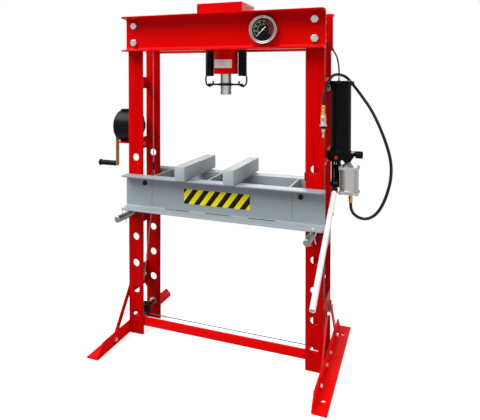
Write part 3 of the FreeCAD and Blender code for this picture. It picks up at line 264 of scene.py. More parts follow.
def add_hex(bm, at, axis, flats, high, washer=0.0, spread=0.62):
    """Hexagon with a turned chamfer, its foot at a point; washer is the thickness of a washer under it."""
    if washer:
        add_rod(bm, at, axis, 0, washer, flats * spread)
    start = Vector(at) + Vector(axis).normalized() * washer
    top = flats * 0.475

    def wall(angle):
        return flats / 2 / math.cos((angle + math.pi / 6) % (math.pi / 3) - math.pi / 6)

    def shoulder(angle):
        return high - (wall(angle) - top) * 0.577
    add_lathe(bm, start, axis, [(0, wall), (shoulder, wall), (high, top)])


def turned(name, at, axis, outline, trim, count, *look, steps=3, closed=False, **settings):
    """A piece that is one turned shape; look is its finish and CAD node."""
    bm = bmesh.new()
    add_lathe(bm, at, axis, outline, trim, count, steps, closed)
    return piece(name, bm, *look, **settings)


def bent_sheet(name, centre, heights, radii, facing, half_angle, steps, *look):
    """A thin sheet bent round a vertical axis; angles are degrees from +X."""
    bm = bmesh.new()
    rings = []
    (low, high), (inner, outer) = heights, radii
    for turn in spread(facing - half_angle, facing + half_angle, steps * 2):
        across, along = math.cos(math.radians(turn)), math.sin(math.radians(turn))
        rings.append([bm.verts.new((centre[0] + r * across, centre[1] + r * along, z))
                      for r, z in ((inner, low), (outer, low), (outer, high), (inner, high))])
    skin(bm, rings)
    return piece(name, bm, *look)


def hose(name, route, diameter, node):
    """Round hose: one NURBS spline whose control points are the route's points."""
    curve = bpy.data.curves.new(name, "CURVE")
    curve.dimensions = "3D"
    curve.bevel_depth = diameter / 2 * MM
    curve.bevel_resolution = 5
    curve.use_fill_caps = True
    spline = curve.splines.new("NURBS")
    spline.points.add(len(route) - 1)
    for point, place in zip(spline.points, route):
        point.co = [c * MM for c in place] + [1]
    spline.order_u = 3
    spline.use_endpoint_u = True
    spline.resolution_u = 10
    curve.materials.append(RUBBER)
    obj = linked(name, curve)
    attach(obj, "frame")
    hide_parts(node)
    return obj


# Moulded rubber looks near black, with a broad soft sheen. Turned brass and copper wash reflect sharply.
# Zinc plate is pale and a little cloudy, in patches about 9 mm wide. Black oxide has a dull gleam.
RUBBER = finish("black_hose_rubber", "#121214", 0.42, shine=0.25, grain=(1.5, 0.03))
BRASS = finish("turned_brass", "#E3B862", 0.25, metallic=1.0)
COPPER = finish("copper_washed_nipple", "#D9A58E", 0.3, metallic=1.0)
ZINC = finish("bright_zinc_plate", "#DADCDB", 0.28, metallic=0.9, worn=(9, "#BFC4C3", 0.4))
BLACK_STEEL = finish("black_oxide_steel", "#0B0B0B", 0.36, shine=0.18)

air_hose = hose("air_hose_rubber", AIR_ROUTE, AIR_HOSE_D, "air_hose")
bm = bmesh.new()
add_lathe(bm, HOSE_END, Z, [
    (1347, 7), (1360, 7), (1360, 9.5), (1371, 9.5), (1373, 8.7), (1376, 8.7), (1378, 9.5),
    (1392, 9.5), (1393, 8.6), (1393, 8.2), (1391, 0)], 0.8)
add_hex(bm, (*HOSE_END[:2], 1347), Z, 21.5, 12)
ferrule = piece("hose_ferrule_brass", bm, BRASS, "hose_ferrule")
coupler = turned("air_coupler_zinc", HOSE_END, Z, [
    (1262, 6.6), (1264, 7.6), (1272, 8.2), (1278, 10), (1291, 10), (1291, 18), (1297, 18),
    (1297, 13.2), (1308, 13.2), (1309, 12.6), (1311, 12.6), (1312, 13.2), (1336, 13.2), (1338, 12),
    (1347, 12)], 0.5, 48, ZINC, "air_coupler", steps=2)
band = bent_sheet("air_coupler_window", HOSE_END, (1315, 1333), (13, 13.5), -82, 46, 4, BRASS)
collar = turned("air_coupler_collar", HOSE_END, Z, [
    (1278, 11), (1281, 13.4), (1291, 13.8)], 0.8, 48, BLACK_STEEL, steps=2)
nipple = turned("air_nipple_copper", HOSE_END, Z, [
    (1232, 3.6), (1234, 5.6), (1243, 6), (1245, 4.6), (1249, 4.6), (1251, 6), (1263, 6)],
    0.4, 48, COPPER, steps=2)

# -------- floor, backdrop and light
# Pale floor that fades into a white backdrop. One soft sun from the front left, even light from all
# round, and three large lamps that model the left side, the right side and the back.
BACKDROP, FILL, MIRRORED = 1.0, 0.37, 0.65
KEY_STRENGTH, KEY_SOFTNESS, KEY_TOWARDS = 2.85, 0.7, (0.30, 0.62, -0.80)
LAMPS = (("soft_left", (-2.4, -0.5, 3.6), 2.0, 55), ("soft_right", (3.6, -0.2, 2.2), 1.6, 42),
         ("soft_back", (-0.6, 4.4, 3.0), 2.4, 70))
FLOOR_HALF, FADE_FROM, FADE_TO = 6, 0.9, 1.9
scene = bpy.context.scene
scene.view_settings.view_transform = "Standard"
world = bpy.data.worlds.new("studio")
scene.world = world
world.use_nodes = True
sky = world.node_tree
sky.nodes.clear()
rays = add(sky, "ShaderNodeLightPath").outputs
white, fill, mirrored = [
    add(sky, "ShaderNodeBackground", {"Color": (1, 1, 1, 1), "Strength": strength}).outputs[0]
    for strength in (BACKDROP, FILL, MIRRORED)]
lighting = add(sky, "ShaderNodeMixShader", {0: rays["Is Glossy Ray"], 1: fill, 2: mirrored})
both = add(sky, "ShaderNodeMixShader", {0: rays["Is Camera Ray"], 1: lighting.outputs[0], 2: white})
sky.links.new(both.outputs[0], add(sky, "ShaderNodeOutputWorld").inputs["Surface"])

# The floor glows a little to the camera, so that it stays white and still takes the press's shadow.
floor_mesh = bpy.data.meshes.new("floor")
floor_mesh.from_pydata([(x * FLOOR_HALF, y * FLOOR_HALF, 0) for x, y in ((-1, -1), (1, -1), (1, 1), (-1, 1))],
                       [], [(0, 1, 2, 3)])
floor = linked("floor", floor_mesh)
pale = bpy.data.materials.new("pale_floor")
pale.use_nodes = True
tree = pale.node_tree
tree.nodes.clear()
diffuse = add(tree, "ShaderNodeBsdfDiffuse", {"Color": (0.8, 0.8, 0.8, 1)})
glow = add(tree, "ShaderNodeEmission", {"Color": (1, 1, 1, 1), "Strength": 0.5})
seen = add(tree, "ShaderNodeAddShader", {0: diffuse.outputs[0], 1: glow.outputs[0]})
bounce = add(tree, "ShaderNodeBsdfDiffuse", {"Color": (0.5, 0.5, 0.5, 1)})
camera_ray = add(tree, "ShaderNodeLightPath").outputs["Is Camera Ray"]
lit = add(tree, "ShaderNodeMixShader", {0: camera_ray, 1: bounce.outputs[0], 2: seen.outputs[0]})
clear = add(tree, "ShaderNodeBsdfTransparent")
place = add(tree, "ShaderNodeTexCoord").outputs["Object"]
far = add(tree, "ShaderNodeVectorMath", {0: place}, operation="LENGTH").outputs["Value"]
fade = add(tree, "ShaderNodeMapRange", {"Value": far, "From Min": FADE_FROM, "From Max": FADE_TO})
faded = add(tree, "ShaderNodeMixShader", {0: fade.outputs["Result"], 1: lit.outputs[0], 2: clear.outputs[0]})
tree.links.new(faded.outputs[0], add(tree, "ShaderNodeOutputMaterial").inputs["Surface"])
floor_mesh.materials.append(pale)

key = linked("key", bpy.data.lights.new("key", "SUN"))
key.data.energy = KEY_STRENGTH
key.data.angle = KEY_SOFTNESS
key.rotation_euler = Vector(KEY_TOWARDS).to_track_quat("-Z", "Y").to_euler()
for name, place, size, power in LAMPS:
    lamp = linked(name, bpy.data.lights.new(name, "AREA"))
    lamp.data.size = size
    lamp.data.energy = power
    lamp.location = place
    lamp.visible_glossy = name != "soft_right"
    lamp.rotation_euler = (Vector((0, 0, 1.0)) - Vector(place)).to_track_quat("-Z", "Y").to_euler()

# -------- feet, braces and base bar
# Angle-iron feet, flat braces down to them and a bar between the posts, sprayed with gloss red enamel.
# Zinc hexagon bolts with washers go through each joint; their nuts sit on the inner side.
SIDES = ((-1, "left"), (1, "right"))
CORNERS = [(a, b) for a in (-1, 1) for b in (-1, 1)]
POST_X, BAR_WIDTH, BAR = 530, 95, 10
POST_OUT = POST_X + BAR_WIDTH / 2
POST_IN = POST_OUT - 8
FOOT_BOLTS = ((POST_OUT + 13, POST_IN, 58, 296), (POST_OUT + 13, POST_OUT, 252, 31),
              (POST_OUT + 7, POST_IN, 62, 27))


def enamel(name, colour, roughness=0.3, shine=0.12, grain=(7, 0.05)):
    """Thick gloss enamel: deep red, and even what it mirrors looks red."""
    material = finish(name, colour, roughness, shine=shine, grain=grain)
    material.node_tree.nodes["Principled BSDF"].inputs["Specular Tint"].default_value = (1, 0.4, 0.4, 1)
    return material


def dressed(node, material, bevel=1.0, **settings):
    """The CAD node's own shape, joined up, with its sharp edges rounded."""
    bm = bmesh.new()
    bm.from_mesh(frame["nodes"][node].data)
    bmesh.ops.scale(bm, vec=(1 / MM,) * 3, verts=bm.verts)
    bmesh.ops.remove_doubles(bm, verts=bm.verts, dist=0.01)
    bmesh.ops.dissolve_limit(bm, angle_limit=math.radians(1), verts=bm.verts, edges=bm.edges)
    sharp = [e for e in bm.edges if len(e.link_faces) == 2 and e.calc_face_angle(0) > math.radians(40)]
    bmesh.ops.bevel(bm, geom=sharp, offset=bevel, segments=2, profile=0.5, affect="EDGES",
                    clamp_overlap=True)
    piece(node + "_dressed", bm, material, node, **settings)


def repeat_tree():
    """Geometry Nodes: one prototype at each point, turned by the point's own Euler angles."""
    tree = bpy.data.node_groups.new("repeat_on_points", "GeometryNodeTree")
    for name, kind in (("Places", "NodeSocketGeometry"), ("Prototype", "NodeSocketObject"),
                       ("Finish", "NodeSocketMaterial")):
        tree.interface.new_socket(name, in_out="INPUT", socket_type=kind)
    tree.interface.new_socket("Geometry", in_out="OUTPUT", socket_type="NodeSocketGeometry")
    source = add(tree, "NodeGroupInput").outputs
    points = add(tree, "GeometryNodeMeshToPoints", {"Mesh": source["Places"]})
    turn = add(tree, "GeometryNodeInputNamedAttribute", {"Name": "turn"}, data_type="FLOAT_VECTOR")
    spin = add(tree, "FunctionNodeEulerToRotation", {"Euler": turn.outputs["Attribute"]})
    model = add(tree, "GeometryNodeObjectInfo", {"Object": source["Prototype"], "As Instance": True})
    placed = add(tree, "GeometryNodeInstanceOnPoints", {
        "Points": points.outputs["Points"], "Instance": model.outputs["Geometry"],
        "Rotation": spin.outputs["Rotation"]})
    real = add(tree, "GeometryNodeRealizeInstances", {"Geometry": placed.outputs["Instances"]})
    painted = add(tree, "GeometryNodeSetMaterial", {"Geometry": real.outputs["Geometry"],
                                                   "Material": source["Finish"]})
    out = add(tree, "NodeGroupOutput")
    tree.links.new(painted.outputs["Geometry"], out.inputs["Geometry"])
    return tree


REPEAT = repeat_tree()


def repeated(name, bm, places, material, *nodes):
    """Stand the shape at every (point, Euler turn) with Geometry Nodes and bake it into one piece."""
    model = linked(name + "_model", as_mesh(name + "_model", bm))
    point_mesh = bpy.data.meshes.new(name + "_places")
    point_mesh.from_pydata([Vector(point) * MM for point, _ in places], [], [])
    turns = point_mesh.attributes.new("turn", "FLOAT_VECTOR", "POINT")
    for item, (_, turn) in zip(turns.data, places):
        item.vector = turn
    holder = linked(name + "_places", point_mesh)
    modifier = holder.modifiers.new("repeat", "NODES")
    modifier.node_group = REPEAT
    values = {"Prototype": model, "Finish": material}
    for item in REPEAT.interface.items_tree:
        if item.in_out == "INPUT" and item.name in values:
            modifier[item.identifier] = values[item.name]
    bpy.context.view_layer.update()
    made = bpy.data.meshes.new_from_object(holder.evaluated_get(bpy.context.evaluated_depsgraph_get()))
    for obj in (model, holder):
        bpy.data.objects.remove(obj)
    made.name = name
    shown(name, made, material, nodes)


def facing(sign):
    """Euler turn of a bolt drawn for the positive side."""
    return (0, 0, 0) if sign > 0 else (0, 0, math.pi)


# The plates' enamel is deep and glossy; on the feet it is duller, and its red is painted a little brighter as
# painted light.
RED = enamel("gloss_red_enamel", "#D60000")
RED_FOOT_PAINTED_LIGHT = enamel("gloss_red_enamel_feet_painted_light", "#E80404", 0.5, 0.05, (7, 0.03))
for _, side_name in SIDES:
    dressed(f"foot_{side_name}", RED_FOOT_PAINTED_LIGHT, 1.2)
dressed("foot_braces", RED, 0.8)
dressed("base_bar", RED, 0.8)
bm = bmesh.new()
add_hex(bm, (0, 0, 0), X, 19, 8, 1.6)
heads = [((side * head, depth * y, z), facing(side))
         for side, depth in CORNERS for head, _, y, z in FOOT_BOLTS]
nuts = [((side * nut, depth * y, z), facing(-side))
        for side, depth in CORNERS for _, nut, y, z in FOOT_BOLTS]
repeated("foot_bolts", bm, heads + nuts, ZINC, "foot_fasteners")

# -------- posts
# Flat steel bars with seven pin holes each, joined across their outer edges by welded battens. Their
# enamel is the same gloss red, with painted shade: darker below the table, brighter above it.
DEPTHS = ((-1, "front"), (1, "rear"))
BAR_Y, BAR_LOW, BAR_HIGH = 103, 5, 1860
TOP_HOLE, HOLE_STEP, HOLE_R, HOLES = 1054, 157, 21.5, 7


def add_plate(bm, outline, thick, place, bevel=0.6, trim=0, holes=()):
    """Flat plate centred on its plane, with rounded edges. Its corners are softened by trim, and round
    holes are (x, y, radius)."""
    curve = bpy.data.curves.new("plate", "CURVE")
    curve.dimensions, curve.fill_mode = "2D", "BOTH"
    curve.extrude, curve.bevel_depth, curve.bevel_resolution = thick / 2 - bevel, bevel, 1
    loops = [soften(outline, trim, closed=True) if trim else outline]
    for x, y, radius in holes:
        wide = radius + bevel
        loops.append([(x + wide * math.cos(a), y + wide * math.sin(a))
                      for a in spread(0, 2 * math.pi, 48)[:-1]])
    for loop in loops:
        spline = curve.splines.new("POLY")
        spline.points.add(len(loop) - 1)
        for point, (x, y) in zip(spline.points, loop):
            point.co = (x, y, 0, 1)
        spline.use_cyclic_u = True
    carrier = bpy.data.objects.new("plate", curve)
    mesh = bpy.data.meshes.new_from_object(carrier)
    mesh.transform(place)
    bm.from_mesh(mesh)
    for item, store in ((carrier, bpy.data.objects), (mesh, bpy.data.meshes), (curve, bpy.data.curves)):
        store.remove(item)


def upright_y(y):
    """Places a plate drawn in (X, Z) at a depth y."""
    return Matrix.Translation((0, y, 0)) @ Matrix.Rotation(math.pi / 2, 4, "X")


def rectangle(x_low, x_high, y_low, y_high, inset=0.6):
    return [(x_low + inset, y_low + inset), (x_high - inset, y_low + inset),
            (x_high - inset, y_high - inset), (x_low + inset, y_high - inset)]


# Painted shade on the posts: their red runs from a darker red below the table to a brighter red above it.
RED_POST_PAINTED_SHADE = enamel("gloss_red_enamel_posts_painted_shade", "#B20000", 0.34, 0.1)
tree = RED_POST_PAINTED_SHADE.node_tree
height = add(tree, "ShaderNodeSeparateXYZ", {"Vector": add(tree, "ShaderNodeTexCoord").outputs["Object"]})
painted_shade_rise = add(tree, "ShaderNodeMapRange", {"Value": height.outputs["Z"], "From Min": 0.7, "From Max": 1.1})
two_tone(RED_POST_PAINTED_SHADE, painted_shade_rise.outputs["Result"], "#AE0000", "#D20000")
for side, side_name in SIDES:
    x = side * POST_X
    holes = [(x, TOP_HOLE - HOLE_STEP * k, HOLE_R) for k in range(HOLES)]
    outline = rectangle(x - BAR_WIDTH / 2, x + BAR_WIDTH / 2, BAR_LOW, BAR_HIGH)
    for depth, depth_name in DEPTHS:
        bm = bmesh.new()
        add_plate(bm, outline, BAR, upright_y(depth * BAR_Y), trim=1.2, holes=holes)
        piece(f"post_bar_{side_name}_{depth_name}", bm, RED_POST_PAINTED_SHADE, f"post_{side_name}_{depth_name}")
dressed("post_battens", RED_POST_PAINTED_SHADE)

# -------- head beam
# Two rolled channels, 200 x 75, with tapered flanges, filleted roots, rounded toes, and corners rounded
# in plan. Zinc M24 bolts hold them to the posts: heads with washers outside, nuts and shanks inside.
WEB, FLANGE, BEAM, BEAM_HALF, PLAN_CORNER = 8.5, 75, 200, 585, 16
HEAD_WEB_Y, HEAD_LOW = 108, 1675
BOLT_ROWS = (1825, 1726)


def channels(name, web_y, low, material, body):
    """A front and a rear channel, the web's inner face at web_y and the flanges outward."""
    profile = soften([(0, 0), (FLANGE, 0), (FLANGE, 8.5, 4), (WEB, 13.4, 11), (WEB, BEAM - 13.4, 11),
                      (FLANGE, BEAM - 8.5, 4), (FLANGE, BEAM), (0, BEAM)], closed=True, steps=4)
    end = []
    for angle in spread(0, math.pi / 2, 5):
        end.append((BEAM_HALF - PLAN_CORNER * (1 - math.sin(angle)),
                    FLANGE - PLAN_CORNER * (1 - math.cos(angle))))
    ends = [(-x, width) for x, width in reversed(end)] + end
    for depth, depth_name in DEPTHS:
        bm = bmesh.new()
        skin(bm, [[bm.verts.new((x, depth * (web_y + min(u, width)), low + v)) for u, v in profile]
                  for x, width in ends])
        piece(f"{name}_channel_{depth_name}", bm, material, f"{name}_beam_{depth_name}", body=body)


def bolt_places(y):
    return [((side * POST_X, depth * y, z), facing(-depth)) for side, depth in CORNERS for z in BOLT_ROWS]


channels("head", HEAD_WEB_Y, HEAD_LOW, RED, "frame")
bm = bmesh.new()
add_hex(bm, (0, 0, 0), FRONT, 36, 14.2, 0.8, 0.48)
repeated("head_bolt_heads", bm, bolt_places(HEAD_WEB_Y + WEB), ZINC)
bm = bmesh.new()
add_hex(bm, (0, 0, 0), Y, 36, 15, 4, 0.63)
add_rod(bm, (0, 0, 0), Y, 0, 25, 12, 1.5)
repeated("head_bolt_nuts", bm, bolt_places(BAR_Y - BAR / 2), ZINC, "head_fasteners")

# -------- cylinder and ram
# Welded red saddle over a red steel barrel with a blank pale plate stuck to its front. The ram below is
# ground bright, with a groove above its chamfered nose.
AXIS = (0, 0, 0)
# A bright round bar with a painted reflection: light grey where it faces the view, near black at its edges.
RAM_STEEL = finish("bright_ram_steel_painted_reflection", "#D0D0CF", 0.24, metallic=1.0, grain=(0.9, 0.01),
                   stretch=(1, 1, 12))
painted_reflection_facing = add(RAM_STEEL.node_tree, "ShaderNodeLayerWeight", {"Blend": 0.8}).outputs["Facing"]
two_tone(RAM_STEEL, painted_reflection_facing, "#E4E4E3", "#0C0C0C")
# Round red steel catches more light than the flat plates, so its red is brighter.
RED_ROUND = enamel("gloss_red_enamel_cylinder", "#EA0000", 0.28, grain=(6, 0.04))
# Pale metal foil: nearly white and matt.
PALE_PLATE = finish("blank_pale_plate", "#FBF2EF", 0.5)

dressed("cylinder_saddle", RED, 2.0, slot="cylinder_steel")
turned("cylinder_barrel_round", AXIS, Z, [
    (1547, 31.4), (1545, 34), (1545, 69, 2.5), (1927, 69), (1927, 31.4)],
    1.5, 96, RED_ROUND, "cylinder_barrel", closed=True)
bent_sheet("pale_plate", AXIS, (1579, 1626), (69.05, 69.8), -90, 48.5, 12, PALE_PLATE)
turned("ram_ground", AXIS, Z, [
    (1429, 29), (1431, 31), (1450, 31), (1450, 28), (1458, 28), (1458, 31), (1745, 31)],
    0.4, 96, RAM_STEEL, "ram_rod", steps=2, body="ram")

# -------- return springs and yoke
# Close-wound black extension springs. Their upper hooks hang from rods in the saddle, and the lower ones
# pull up a black steel yoke that is clamped round the ram.
SPRING_X, CURLS, COIL_R, COIL_LOW, COIL_HIGH = 100, 23, 22, 1534, 1696
COIL_STEPS = 24 * CURLS
HOOK_WIRE_R, COIL_WIRE_R = 4.8, 3.35
# Blackened wire: a thin line of light on each curl.
SPRING_BLACK = finish("black_spring_wire", "#0B0B0D", 0.35, shine=0.2)


def add_sweep(bm, points, radius, sides=12, lobes=0, lay=60.0):
    """Tube along points without twist; lobes and lay (mm per turn) make it a stranded rope.
    radius is one number or one for each point."""
    points = [Vector(p) for p in points]
    ahead = (points[1] - points[0]).normalized()
    side = ahead.orthogonal().normalized()
    rings, run = [], 0.0
    radii = radius if isinstance(radius, list) else [radius] * len(points)
    for k, (point, radius) in enumerate(zip(points, radii)):
        new = (points[min(k + 1, len(points) - 1)] - points[max(k - 1, 0)]).normalized()
        side = (ahead.rotation_difference(new) @ side).normalized()
        ahead = new
        up = ahead.cross(side)
        if k:
            run += (point - points[k - 1]).length
        twist = 2 * math.pi * run / lay if lobes else 0
        ring = []
        for n in range(sides):
            angle = 2 * math.pi * n / sides
            reach = radius * (0.9 + 0.1 * math.cos(lobes * angle)) if lobes else radius
            spun = angle + twist
            ring.append(bm.verts.new(point + (side * math.cos(spun) + up * math.sin(spun)) * reach))
        rings.append(ring)
    skin(bm, rings)


def arc(centre, radius, first, last, steps, y=0):
    """Points on an arc round centre (x, z) at a depth y, degrees from +X towards +Z."""
    turns = [math.radians(degrees) for degrees in spread(first, last, steps)]
    return [(centre[0] + radius * math.cos(a), y, centre[1] + radius * math.sin(a)) for a in turns]


bm = bmesh.new()
add_rod(bm, AXIS, Z, 1479, 1493, 40, 1.2, 64, bore=31.2)
for side in (-1, 1):
    add_sweep(bm, [(side * x, -9.5, 1486) for x in (34, 100, 106)], 5.4, 16)
    add_rod(bm, (side * 99, 0, 1476.6), (side, 0, 0), 0, 7, 7.2, 0.6, 32, bore=4.6)
piece("yoke_black", bm, BLACK_STEEL, "spring_yoke", body="ram")

# The right spring's wire: hook in the yoke's eye, close-wound coil, neck and hook over its rod.
wire = [(79, 0, 1506)] + arc((95, 1494), 16, 180, 270, 8) + arc((105, 1495), 17, 270, 360, 8)
wire += [(125, 0, 1508), (125, 0, 1520), (123.5, 0, 1528)]
radii = [HOOK_WIRE_R] * len(wire)
turns = spread(0, 2 * math.pi * CURLS, COIL_STEPS)
for angle, height in zip(turns, spread(COIL_LOW, COIL_HIGH, COIL_STEPS)):
    wire.append((SPRING_X + COIL_R * math.cos(angle), COIL_R * math.sin(angle), height))
wire += [(116, 0, 1708), (109.4, 0, 1724), (109.4, 0, 1780)] + arc((SPRING_X, 1845), 9.4, 0, 180, 10)
wire.append((90.6, 0, 1833))
radii += [COIL_WIRE_R] * (len(wire) - len(radii))
for side, side_name in SIDES:
    bm = bmesh.new()
    add_sweep(bm, [(side * x, y, z) for x, y, z in wire], radii, 10)
    stretch = ("frame", "ram", (side * SPRING_X, 0, 1800), (side * SPRING_X, 0, 1512))
    piece(f"spring_coil_{side_name}", bm, SPRING_BLACK, f"spring_{side_name}", body=stretch, smooth=60)

# -------- gauge
# Polished steel case and bezel on a red plate. The black dial has two printed scales with upright numbers
# and a red upper range, and the needle is enamelled white.
GAUGE_X, GAUGE_Z = 262, 1778
GAUGE = (GAUGE_X, 0, GAUGE_Z)
DIAL_FROM, DIAL_TO = -135, 20
NUMBER_R, NUMBER_SIZE, NUMBER_STEP = 41, 8.5, 36
BAND_Y, TICK_Y, NUMBER_Y, NEEDLE_Y = -142.5, -142.6, -142.7, -144.2
# Polished steel mirrors the room softly. Printed inks are flat and don't mirror; the dial is a dull black.
CHROME = finish("satin_steel_bezel", "#B4B4B3", 0.26, metallic=1.0)
DIAL_BLACK = finish("dial_black", "#08090B", 0.5, shine=0.1)
DIAL_PALE = finish("dial_pale_ink", "#CFCFB4", 0.6)
DIAL_GREEN = finish("dial_green_ink", "#3F6A16", 0.6)
DIAL_RED = finish("dial_red_ink", "#FF2A30", 0.6)
NEEDLE = finish("white_needle_enamel", "#F6F6F6", 0.4)
# Each row of marks: name, width, length, radius, first and last angle, number of marks, ink.
MARKS = (("outer_ticks", 1.0, 4, 50, DIAL_FROM, DIAL_TO, 32, DIAL_PALE),
         ("outer_marks", 1.7, 7, 48.5, DIAL_FROM, DIAL_TO, 9, DIAL_PALE),
         ("red_marks", 2.8, 7, 48.5, 36, 118, 7, DIAL_RED),
         ("red_inner_marks", 2.8, 6, 37.5, 32, 118, 7, DIAL_RED),
         ("inner_marks", 1.4, 5, 29.5, DIAL_FROM, DIAL_TO, 12, DIAL_PALE))


def add_box(bm, low, high, bevel=1.0):
    cube = bmesh.ops.create_cube(bm, size=1)["verts"]
    for vert in cube:
        vert.co = Vector([l + (h - l) * (c + 0.5) for l, h, c in zip(low, high, vert.co)])
    if bevel:
        edges = list(dict.fromkeys(edge for vert in cube for edge in vert.link_edges))
        bmesh.ops.bevel(bm, geom=edges, offset=bevel, segments=2, profile=0.5, affect="EDGES")


def on_dial(radius, degrees, y):
    """A point of the dial at a clock angle from the top."""
    turn = math.radians(degrees)
    return (GAUGE_X + radius * math.sin(turn), y, GAUGE_Z + radius * math.cos(turn))


def dial_arc(name, inner, outer, first, last, material):
    """Flat painted band on the dial between two clock angles."""
    bm = bmesh.new()
    rings = []
    corners = ((inner, BAND_Y), (outer, BAND_Y), (outer, BAND_Y - 0.15), (inner, BAND_Y - 0.15))
    for degrees in spread(first, last, 40):
        rings.append([bm.verts.new(on_dial(r, degrees, y)) for r, y in corners])
    skin(bm, rings)
    piece(name, bm, material)


bm = bmesh.new()
add_plate(bm, rectangle(195, 343, 1692, 1859), 3, upright_y(-118), 0.4, 2)
piece("gauge_plate_red", bm, RED, "gauge_plate")
turned("gauge_case_polished", GAUGE, FRONT, [
    (119.5, 66, 2), (122, 70, 1), (133, 70, 1), (133, 76, 1), (135, 78.5, 2), (144, 78.5, 3),
    (150, 74.5, 3), (150, 71, 2), (146, 67.5, 1.5), (146, 66, 1), (149, 64.5, 1), (148.5, 62, 1),
    (143.6, 57.5, 0.5), (142.2, 57, 0.5)], 1, 128, CHROME, "gauge_case")
turned("dial_face", GAUGE, FRONT, [
    (142.1, 57.4), (145.5, 57.4), (145.5, 55), (142.5, 55)], 0, 96, DIAL_BLACK)
for name, width, long, radius, first, last, count, ink in MARKS:
    bm = bmesh.new()
    add_box(bm, (-width / 2, -0.15, -long / 2), (width / 2, 0.15, long / 2), 0)
    places = [(on_dial(radius, a, TICK_Y), (0, math.radians(a), 0)) for a in spread(first, last, count - 1)]
    repeated("dial_" + name, bm, places, ink)
dial_arc("dial_green_band", 24.5, 26.5, DIAL_FROM, DIAL_TO, DIAL_GREEN)
dial_arc("dial_red_line", 53.2, 54.2, 28, 122, DIAL_RED)
for k in range(5):
    text = str(k * 100)
    curve = bpy.data.curves.new("number", "FONT")
    curve.body, curve.size, curve.extrude = text, NUMBER_SIZE, 0.1
    curve.align_x, curve.align_y = "CENTER", "CENTER"
    mesh = bpy.data.meshes.new_from_object(bpy.data.objects.new("number", curve))
    bpy.data.curves.remove(curve)
    place = Matrix.Translation(on_dial(NUMBER_R, DIAL_FROM + k * NUMBER_STEP, NUMBER_Y))
    mesh.transform(Matrix.Scale(MM, 4) @ place @ upright_y(0))
    shown("dial_number_" + text, mesh, DIAL_PALE)

bm = bmesh.new()
blade = [(-34.5, -35.8), (11, 8.4), (15.6, 12.4, 2), (15.6, 15.6, 2), (12.4, 15.6, 2), (8.4, 11),
         (-35.8, -34.5)]
blade = [(GAUGE_X + x, GAUGE_Z + z, *trim) for x, z, *trim in blade]
add_plate(bm, blade, 1.0, upright_y(NEEDLE_Y), 0.2, 0.4)
piece("needle_blade", bm, NEEDLE, "gauge_needle", body="needle")
turned("needle_hub", GAUGE, FRONT, [
    (142.8, 3), (143.6, 4.6), (145.4, 4.6), (146.2, 3.6)], 0.4, 32, NEEDLE, body="needle")

# -------- pulleys and shafts
# Turned steel wheels with a rope groove, on black axles between the post bars. The lower shafts carry
# collars beside the wheel, and zinc washers and a nut at their rear end.
LIFT_Y, LEVEL_Y = -20, 0
HEAD_WHEEL_X, HEAD_WHEEL_Z, HEAD_ROPE_R = 511.5, 1770, 51.5
BASE_WHEEL_X, BASE_WHEEL_Z, BASE_ROPE_R = 530, 112, 33
# Oiled steel: dark brown-grey with a soft gleam.
DARK_STEEL = finish("dark_oiled_steel", "#2E2A28", 0.4, metallic=0.5)


def wheel(name, at, rope_r, bore, body):
    outer, floor_r = rope_r + 5, rope_r - 3.5
    half = [(0, floor_r, 3), (3.2, floor_r + 2, 1), (3.9, outer, 1), (7, outer, 1.2), (7, outer - 6),
            (4.5, outer - 9), (4.5, bore + 11), (7, bore + 9), (7, bore)]
    outline = [(-along, *rest) for along, *rest in reversed(half[1:])] + half
    bm = bmesh.new()
    add_lathe(bm, at, Y, soften(outline, 0.6, closed=True), 0, 64, closed=True)
    piece(name + "_turned", bm, DARK_STEEL, name, body=body)


for side, side_name in SIDES:
    at = (side * HEAD_WHEEL_X, LIFT_Y if side < 0 else LEVEL_Y, HEAD_WHEEL_Z)
    wheel(f"head_pulley_{side_name}", at, HEAD_ROPE_R, 8.3, f"head_wheel_{side_name}")
for side, side_name in SIDES:
    at = (side * BASE_WHEEL_X, LEVEL_Y, BASE_WHEEL_Z)
    wheel(f"base_pulley_{side_name}", at, BASE_ROPE_R, 10.3, f"base_wheel_{side_name}")
bm = bmesh.new()
for side in (-1, 1):
    add_rod(bm, (side * HEAD_WHEEL_X, 0, HEAD_WHEEL_Z), Y, -98, 98, 8, 0, 32)
    add_lathe(bm, (side * BASE_WHEEL_X, 0, BASE_WHEEL_Z), Y, [
        (-25, 10), (-14, 10), (-14, 15), (-9, 15), (-9, 10), (9, 10), (9, 15), (14, 15), (14, 10),
        (94, 10)], 0.8, 32, 2)
piece("pulley_shafts_black", bm, BLACK_STEEL, "pulley_shafts")
bm = bmesh.new()
for side in (-1, 1):
    at = (side * BASE_WHEEL_X, 0, BASE_WHEEL_Z)
    add_rod(bm, at, Y, 94, 98, 23, 0.8)
    add_rod(bm, at, Y, 108, 112, 23, 0.8)
    add_hex(bm, (side * BASE_WHEEL_X, 112, BASE_WHEEL_Z), Y, 26, 10)
piece("shaft_washers", bm, ZINC)

# -------- wire ropes
# Six-strand galvanised rope. The lift rope runs from the winch over the left head pulley to the table;
# the second rope keeps the table level by way of both base pulleys and the right head pulley.
ROD_X, ROD_Z = 460, 909.5
ROPE_R, LOOP_R, NECK, FERRULE_END = 2.8, 16.5, 66, 106
# Bright strands on the hanging runs; oil and dust make the runs over the pulleys look darker.
ROPE = finish("galvanised_wire_rope", "#A39E9A", 0.45, metallic=0.4)
OILED_ROPE = finish("oiled_wire_rope", "#6C6864", 0.5, metallic=0.3)


def fine(points, step=2.5):
    """Even small steps along a line of points."""
    points = [Vector(p) for p in points]
    out = [points[0]]
    for a, b in zip(points, points[1:]):
        count = max(1, round((b - a).length / step))
        out += [a.lerp(b, k / count) for k in range(1, count + 1)]
    return out


